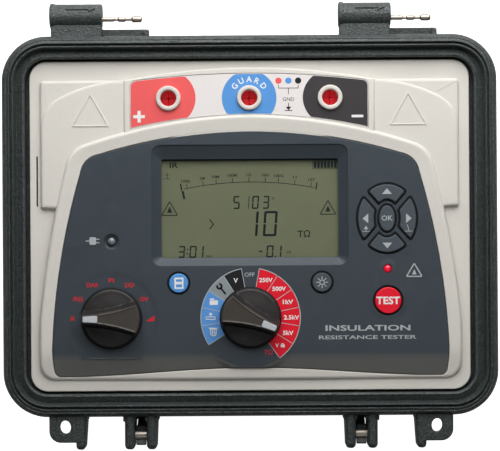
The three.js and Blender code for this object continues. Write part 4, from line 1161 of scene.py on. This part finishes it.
def panel_signs(shells):
    """The triangle by the high voltage lamp, the plug by the line lamp, and the object's plain name."""
    spot = (LAMP_HIGH.x + 16.9, LAMP_HIGH.y - 2.2)
    triangle = rounded_polygon([(spot[0] - 5.6, spot[1] - 3.2), (spot[0] + 5.6, spot[1] - 3.2),
                                (spot[0], spot[1] + 6.2)], 0.7, 4)
    shells.print_area(finely(triangle, 2), [finely(grown(triangle, -0.75), 2)], FASCIA, LINE)
    Pen(shells, FASCIA, LINE, spot).patch([(-1.5, -1.6), (1.5, -1.6), (0, 1.7)])
    spot = (LAMP_LINE.x - 11.9, LAMP_LINE.y + 0.4)
    Pen(shells, DIAL_LEVEL, LINE, spot).patch(rounded_rectangle(2.1, 2.4, 0.9, 4), 0.07)
    plug = Pen(shells, FASCIA, LINE, spot)
    for y in (-1.1, 1.1):
        plug.line([(2, y), (4, y)], 0.6)
    plug.line([(-4.2, 0), (-2, 0)], 0.6)
    names = Pen(shells, FASCIA, LINE)
    names.text("INSULATION", 3.5, 74.6, -65.6, 0.1, 54)
    names.text("RESISTANCE TESTER", 2.4, 74.4, -71.5, 0.05, 62)


def make_prints():
    shells = Shells()
    main_dial(shells)
    mode_dial(shells)
    panel_signs(shells)
    piece("fascia_prints", shells, [INK[word] for word in PRINT_INKS], flat=True)


# ---------------------------------------------------------------- display

def make_display():
    module, glass = Box("lcd_module"), Box("lcd_window")
    shells = Shells()
    shells.slab(module.plan(1.5, 4), module.low.z, module.high.z, top=0.3)
    dark, faint = Pen(shells, module.high.z, 1), Pen(shells, module.high.z, 2)
    # a dark line along the display's upper edge: painted shadow of the bezel
    upper = DISPLAY_Y + GLASS_HALF.y - 0.3
    dark.line([(-GLASS_HALF.x, upper), (GLASS_HALF.x, upper)], 1.5)
    dark.text("IR", 3.6, -48.4, 38.8, 0.08, 5.4)
    for i in range(7):
        dark.patch(oblong(41.875 + i * 2.15, 38.7, 0.875, 2.2))
    dark.line(oblong(48.25, 38.7, 7.85, 2.7), 0.3, closed=True)
    scale = bow((-42, 23.6), (41, 24.0), 4.0, 40)
    dark.line(scale, 0.42)
    for x, word in zip((-39.2, -30.2, -20.6, -10.8, -0.9, 8.9, 18.7, 28.6, 38.9),
                       ("100k", "1M", "10M", "100M", "1G", "10G", "100G", "1T", "10T")):
        near = min(scale, key=lambda p: abs(p[0] - x))
        lean = x * 0.004
        dark.line([near, (near[0] + lean * 2.8, near[1] + 2.8)], 0.4)
        faint.text(word, 1.8, near[0] + lean * 5, near[1] + 4.6, 0.07, 1.5 * len(word))
    for width, *line in ((0.35, (-52.7, 33.9), (-52.7, 30.4)), (0.35, (-54.6, 30.2), (-50.9, 30.2)),
                         (0.35, (-53.9, 32.6), (-51.5, 32.6)), (0.8, (-43.6, 22.8), (-44.2, 26.6)),
                         (0.8, (42.3, 23.2), (43.0, 26.8)), (1.3, (-42.0, 17.8), (-42.7, 21.6)),
                         (0.7, (-25.6, 3.8), (-23.4, 0.9), (-25.6, -2.0))):
        dark.line(line, width)
    dark.figures("5", -10.9, 10.6, 8.3, 4.2, 0.9)
    faint.figures("1", -4.9, 10.6, 8.3, 4.2, 0.6)
    dark.figures("03", 1.2, 10.6, 8.3, 4.2, 0.9, 6.6)
    dark.figures("1", -0.6, -7.0, 16.2, 5.2, 1.5)
    dark.figures("0", 8.1, -7.0, 16.2, 8.6, 1.5)
    dark.figures("3:0", -46.4, -20.4, 7.6, 4.4, 0.9, 5.6)
    dark.figures("1", -34.2, -20.4, 7.6, 4.2, 0.9)
    dark.figures("-", 4.8, -20.4, 7.6, 3.4, 0.9)
    dark.figures("0.", 10.2, -20.4, 7.6, 4.4, 0.9, 5.4)
    dark.figures("1", 15.4, -20.4, 7.6, 4.4, 0.9)
    dark.text("TΩ", 4.3, 34.4, -5.4, 0.08, 8.2)
    faint.text("V", 1.8, 14.9, 17.2, 0.06)
    faint.text("min", 1.7, -26.5, -19.4, 0.06)
    faint.text("nA", 1.9, 24.8, -17.0, 0.06)
    for spot in ((-51.3, 6.8), (49.9, 6.9)):
        sign = Pen(shells, module.high.z, 1, spot)
        sign.line(rounded_polygon([(-5, 0), (5, 0), (0, 8.8)], 0.4, 3), 0.6, closed=True)
        sign.patch([(-1.7, 1.7), (1.7, 1.7), (0, 5.6)])
    piece("display_unit", shells, [DISPLAY, SEGMENT, SEGMENT_FAINT], "lcd_module", flat=True)
    pane = Shells()
    pane.slab(glass.plan(2, 5), glass.low.z, glass.high.z, top=0.15, foot=0.15, steps=2)
    piece("display_window", pane, [GLASS], "lcd_window")


# ---------------------------------------------------------------- keys, lamps and knobs

MAT_TOP, COLLAR_TOP, KEY_FOOT, KEY_TOP = 117.6, 125.1, 119.0, 126.4
PAD_INKS = [SLATE_KEY, INK["line"]]


def make_key_mat():
    """The rubber mat with a collar round every key."""
    shells = Shells()
    foot = Box("keypad_mat").low.z
    shells.slab(rounded_polygon([(68, -18), (106, -18), (106, 26), (68, 26)], 3, 4), foot, MAT_TOP)
    rings = [(arrow_outline(turn, 0.2), arrow_outline(turn, 1.1)) for turn in range(4)]
    rings.append((ok_outline(0.2), ok_outline(1.1)))
    for name, radius in ROUND_KEYS.items():
        spot = KEY_SPOTS[name]
        rings.append((circle(radius + 0.2, spot), circle(radius + 1.1, spot)))
        shells.slab(circle(radius + 2.6, spot), foot, MAT_TOP)
    for near, far in rings:
        shells.sheet(far, [(near, 0.12)], lambda x, y: COLLAR_TOP, MAT_TOP - 0.5, edge=0.2)
    piece("key_mat", shells, [RUBBER], "keypad_mat")


def make_pad_keys():
    for turn, name in enumerate(ARROWS):
        shells = Shells()
        shells.slab(arrow_outline(turn), KEY_FOOT, KEY_TOP, top=0.8, steps=6)
        angle = turn * math.pi / 2
        half = (PAD_OUTER + PAD_INNER) / 2
        spot = around(PAD, half.y if turn % 2 else half.x, angle)
        tip = Matrix.Rotation(angle, 2)
        triangle = [tip @ Vector(p) for p in ((2.1, 0), (-1.5, 3.1), (-1.5, -3.1))]
        Pen(shells, KEY_TOP - 0.02, 1, spot).patch(triangle, 0.07)
        sign = Pen(shells, KEY_TOP, 1, spot)
        if name in ("left", "right"):
            sign.line([(-2.3, -8.2), (2.3, -8.2)], 0.35)
            sign.line([(0, -8), (0, -6)], 0.4)
        if name == "left":
            sign.patch([(-1.4, -6.8), (1.4, -6.8), (0, -4.6)])
        if name == "right":
            sign.line([(0, -6), (-0.8, -4.2)], 0.4)
        piece(f"key_cap_{name}", shells, PAD_INKS, f"button_{name}", f"key_{name}")
    shells = Shells()
    shells.slab(ok_outline(), KEY_FOOT, KEY_TOP, top=0.8, steps=6)
    Pen(shells, KEY_TOP, 1).text("OK", 3.3, PAD.x, PAD.y + 0.2, 0.05, 7.0)
    piece("key_cap_ok", shells, PAD_INKS, "button_ok", "key_ok")


def make_round_keys():
    caps = {"save": (BLUE_KEY, "key_blue", "white"), "backlight": (SLATE_KEY, "slate_panel", "line"),
            "test": (RED_KEY, "key_red", "white")}
    for name, (material, slot, ink) in caps.items():
        spot = KEY_SPOTS[name]
        shells = Shells()
        shells.slab(circle(ROUND_KEYS[name], spot, ROUND), KEY_FOOT, KEY_TOP, top=0.7, steps=6)
        if name == "test":
            Pen(shells, KEY_TOP, 1, spot).text("TEST", 4.7, -0.1, 0, 0.2, 15.2)
        elif name == "save":
            x, y = spot.x + 0.2, spot.y
            upper = rounded_rectangle(1.9, 0.75, 0.2, 2, x, y + 1.7)
            lower = rounded_rectangle(1.9, 0.95, 0.2, 2, x, y - 1.7)
            shells.print_area(rounded_rectangle(2.9, 3.6, 0.5, 3, x, y), [upper, lower], KEY_TOP, 1)
        else:
            shells.print_area(circle(1.75, spot, 32), [circle(1.15, spot, 32)], KEY_TOP, 1)
            for i in range(8):
                Pen(shells, KEY_TOP, 1).line([around(spot, r, math.radians(45 * i)) for r in (2.3, 3.5)], 0.55)
        piece(f"key_cap_{name}", shells, [material, INK[ink]], f"{name}_button", f"key_{name}")


def make_lamps():
    for name, node, material, slot in (("lamp_line", "line_power_led", LENS_CLEAR, "lens_clear"),
                                       ("lamp_high_voltage", "high_voltage_led", LENS_RED, "lens_red")):
        box = Box(node)
        r = box.size.x / 2
        dome = [(max(0.01, r * math.cos(a)), box.high.z - r * 0.72 * (1 - math.sin(a)))
                for a in (math.pi / 16 * i for i in range(9))]
        shells = Shells()
        shells.turned([(r, box.low.z)] + dome, box.middle, 40)
        piece(name, shells, [material], node)


KNOB_RADIUS, KNOB_TALL, KNOB_FOOT = 18.8, 13.5, 125.9
GRIP_TIP, GRIP_TAIL = 17.8, -17.0
WALL_WIDTH = 2.6
KNOB_RESTS = {"main": (MAIN, -22.5), "mode": (MODE, 180.0)}


def grip_half(x):
    return 2.7 + 6.9 * ((GRIP_TIP - x) / (GRIP_TIP - GRIP_TAIL)) ** 2


def knob_level(x, y):
    """The top of a knob lying along +X: a bar that widens to the tail, on a disc that falls to its rim."""
    beside = abs(y) - grip_half(min(x, GRIP_TIP))
    out = math.hypot(x, y)
    bar = KNOB_TALL - 0.5 * (x / KNOB_RADIUS) ** 2 + 0.4 * math.exp(-((beside + 0.7) / 0.4) ** 2)
    disc = 5.4 - 1.2 * smooth(out, 6, KNOB_RADIUS) - 0.06 * max(0.0, beside)
    rounding = 0.7 * max(0.0, out - (KNOB_RADIUS - 1.2)) ** 2
    return bar + (disc - bar) * smooth(beside, -0.3, WALL_WIDTH) - rounding


def make_knobs():
    pointer = rounded_polygon([(8, 2.3), (8, -2.3), (17.4, -1.8), (17.4, 1.8)], 0.9, 6)
    along = [GRIP_TAIL + 0.8 + (GRIP_TIP - 1.6 - GRIP_TAIL) * i / 40 for i in range(41)]
    ridges = [[(x, side * (grip_half(x) + aside)) for x in along
               if math.hypot(x, grip_half(x) + aside) < KNOB_RADIUS - 0.8]
              for side in (-1, 1) for aside in (-1.1, -0.7, -0.3, 0.5, 1.3, 2.0, WALL_WIDTH)]
    crown = KNOB_TALL - 1.6
    skirt = KNOB_RADIUS + 0.9
    for word, (spot, degrees) in KNOB_RESTS.items():
        turn = Matrix.Translation((spot.x, spot.y, KNOB_FOOT)) @ Matrix.Rotation(math.radians(degrees), 4, "Z")
        knob, insert = Shells(), Shells()
        knob.sheet(circle(KNOB_RADIUS, (0, 0), 96), [(grown(pointer, 0.15), 0.1)], knob_level, 0.4, edge=0.5,
                   grid=0.62, creases=ridges)
        # faces near the top of the bar take the lighter copy of the knob black as a painted highlight
        knob.slots = [int(all(knob.points[i][2] > crown for i in corners)) for corners in knob.faces]
        # the skirt round the knob's foot is given the darker rubber black: painted shade of the gap round the
        # knob
        knob.turned([(3, 0), (skirt - 0.2, 0), (skirt, 0.3), (skirt - 0.2, 1.1), (KNOB_RADIUS - 0.2, 1.5),
                     (3, 1.5)], steps=96, slot=2)
        insert.slab(pointer, 6, KNOB_TALL + 0.35, top=0.45)
        knob.place(turn)
        insert.place(turn)
        body = f"{word}_selector"
        piece(f"{word}_dial_knob", knob, [KNOB, KNOB_TOP_SHEEN, RUBBER], f"{word}_knob", body, sharp=40)
        piece(f"{word}_pointer", insert, [POINTER], f"{word}_knob_pointer", body)


# ---------------------------------------------------------------- carried-over nodes

def dress_inner_parts():
    """Finishes for the parts that stay as they are: boards, modules, battery, sockets, screws and feet."""
    finishes = {"foot": RUBBER, "panel_screw": STEEL, "panel_gasket": RUBBER, "main_board": BOARD,
                "battery": WRAP, "high_voltage": MODULE, "charger": MODULE, "power_inlet": MODULE,
                "usb": STEEL, "shaft": STEEL, "switch": MODULE}
    for name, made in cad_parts.items():
        material = next((finish for word, finish in finishes.items() if word in name), None)
        if material:
            made.data.materials.clear()
            made.data.materials.append(material)


# ---------------------------------------------------------------- stage

SCENE = bpy.context.scene
CAMERA_HEIGHT = 1.53
PLANE = 0.130                    # the height at which the picture is PICTURE_WIDTH wide
PICTURE_WIDTH = 0.317
SENSOR = 36
ROLL = math.radians(0.38)
FLOOR_GLOW = 0.1
WORLD = {"From Min": -0.5, "From Max": 0.9, "To Min": 0.06, "To Max": 0.38}   # strength along Y
# place, target, size in metres, radiance, and whether it is seen in reflections
LAMPS = {"key": ((0.06, 0.51, 0.5), (0, 0, 0.12), (0.9, 0.6), 4.1, True),
         "front": ((0, -0.85, 1.75), (0, 0, 0.12), (1.2, 0.6), 1.2, True),
         "fill": ((0, 0.1, 2.0), (0, 0, 0.1), (1.6, 1.6), 0.35, False)}
FLOOR_FRONT, FLOOR_BACK, FLOOR_SIDE, CURVE = -2.4, 0.9, 1.9, 0.9


def make_camera():
    data = bpy.data.cameras.new("camera")
    data.sensor_width = SENSOR
    data.lens = SENSOR * (CAMERA_HEIGHT - PLANE) / PICTURE_WIDTH
    camera = bpy.data.objects.new("camera", data)
    camera.location = (0, 0, CAMERA_HEIGHT)
    camera.rotation_euler = (0, 0, -ROLL)
    SCENE.collection.objects.link(camera)
    SCENE.camera = camera


def make_world():
    """Soft light that is stronger from the back than from the front."""
    world = bpy.data.worlds.new("studio")
    world.use_nodes = True
    tree = world.node_tree
    parts = tree.nodes.new("ShaderNodeSeparateXYZ")
    spread = tree.nodes.new("ShaderNodeMapRange")
    tree.links.new(tree.nodes.new("ShaderNodeTexCoord").outputs["Generated"], parts.inputs[0])
    tree.links.new(parts.outputs["Y"], spread.inputs["Value"])
    for name, value in WORLD.items():
        spread.inputs[name].default_value = value
    tree.links.new(spread.outputs["Result"], tree.nodes["Background"].inputs["Strength"])
    SCENE.world = world


def make_lamp(name, place, target, size, radiance, reflected):
    """A soft box of the given size and brightness."""
    data = bpy.data.lights.new(name, "AREA")
    data.shape = "RECTANGLE"
    data.size, data.size_y = size
    data.energy = radiance * math.pi * size[0] * size[1]
    made = bpy.data.objects.new(name, data)
    made.location = place
    made.rotation_euler = (Vector(target) - Vector(place)).to_track_quat("-Z", "Y").to_euler()
    made.visible_camera = False
    made.visible_glossy = reflected
    SCENE.collection.objects.link(made)


def make_floor():
    """A pale floor that curves up behind the object and shows white to the camera."""
    mesh = bpy.data.meshes.new("floor")
    turns = [math.radians(7.5 * i) for i in range(1, 13)]
    profile = [(FLOOR_FRONT, 0.0), (FLOOR_BACK, 0.0)]
    profile += [(FLOOR_BACK + CURVE * math.sin(a), CURVE - CURVE * math.cos(a)) for a in turns] + [(1.8, 1.6)]
    points = [Vector((x, y, z)) for y, z in profile for x in (-FLOOR_SIDE, FLOOR_SIDE)]
    mesh.from_pydata(points, [], [(2 * i, 2 * i + 1, 2 * i + 3, 2 * i + 2) for i in range(len(profile) - 1)])
    mesh.shade_smooth()
    f = Finish("floor_pale")
    seen = f.node("ShaderNodeLightPath").outputs["Is Camera Ray"]
    f.set(Base_Color=f.mixed(f.noise(60, 3), (0.78, 0.78, 0.78, 1), (0.82, 0.82, 0.82, 1)), Roughness=0.8,
          Emission_Color=(1, 1, 1, 1), Emission_Strength=f.between(seen, FLOOR_GLOW, 1.0, 0, 1))
    mesh.materials.append(f.material)
    floor = bpy.data.objects.new("floor", mesh)
    SCENE.collection.objects.link(floor)


def make_stage():
    SCENE.view_settings.view_transform = "Standard"
    SCENE.view_settings.look = "None"
    make_camera()
    make_world()
    for name, settings in LAMPS.items():
        make_lamp(name, *settings)
    make_floor()


for make in (make_walls, make_rim, make_pins, make_handle, make_panel, make_label, make_terminals, make_fascia,
             make_prints, make_display, make_key_mat, make_pad_keys, make_round_keys, make_lamps, make_knobs,
             dress_inner_parts, make_stage):
    make()
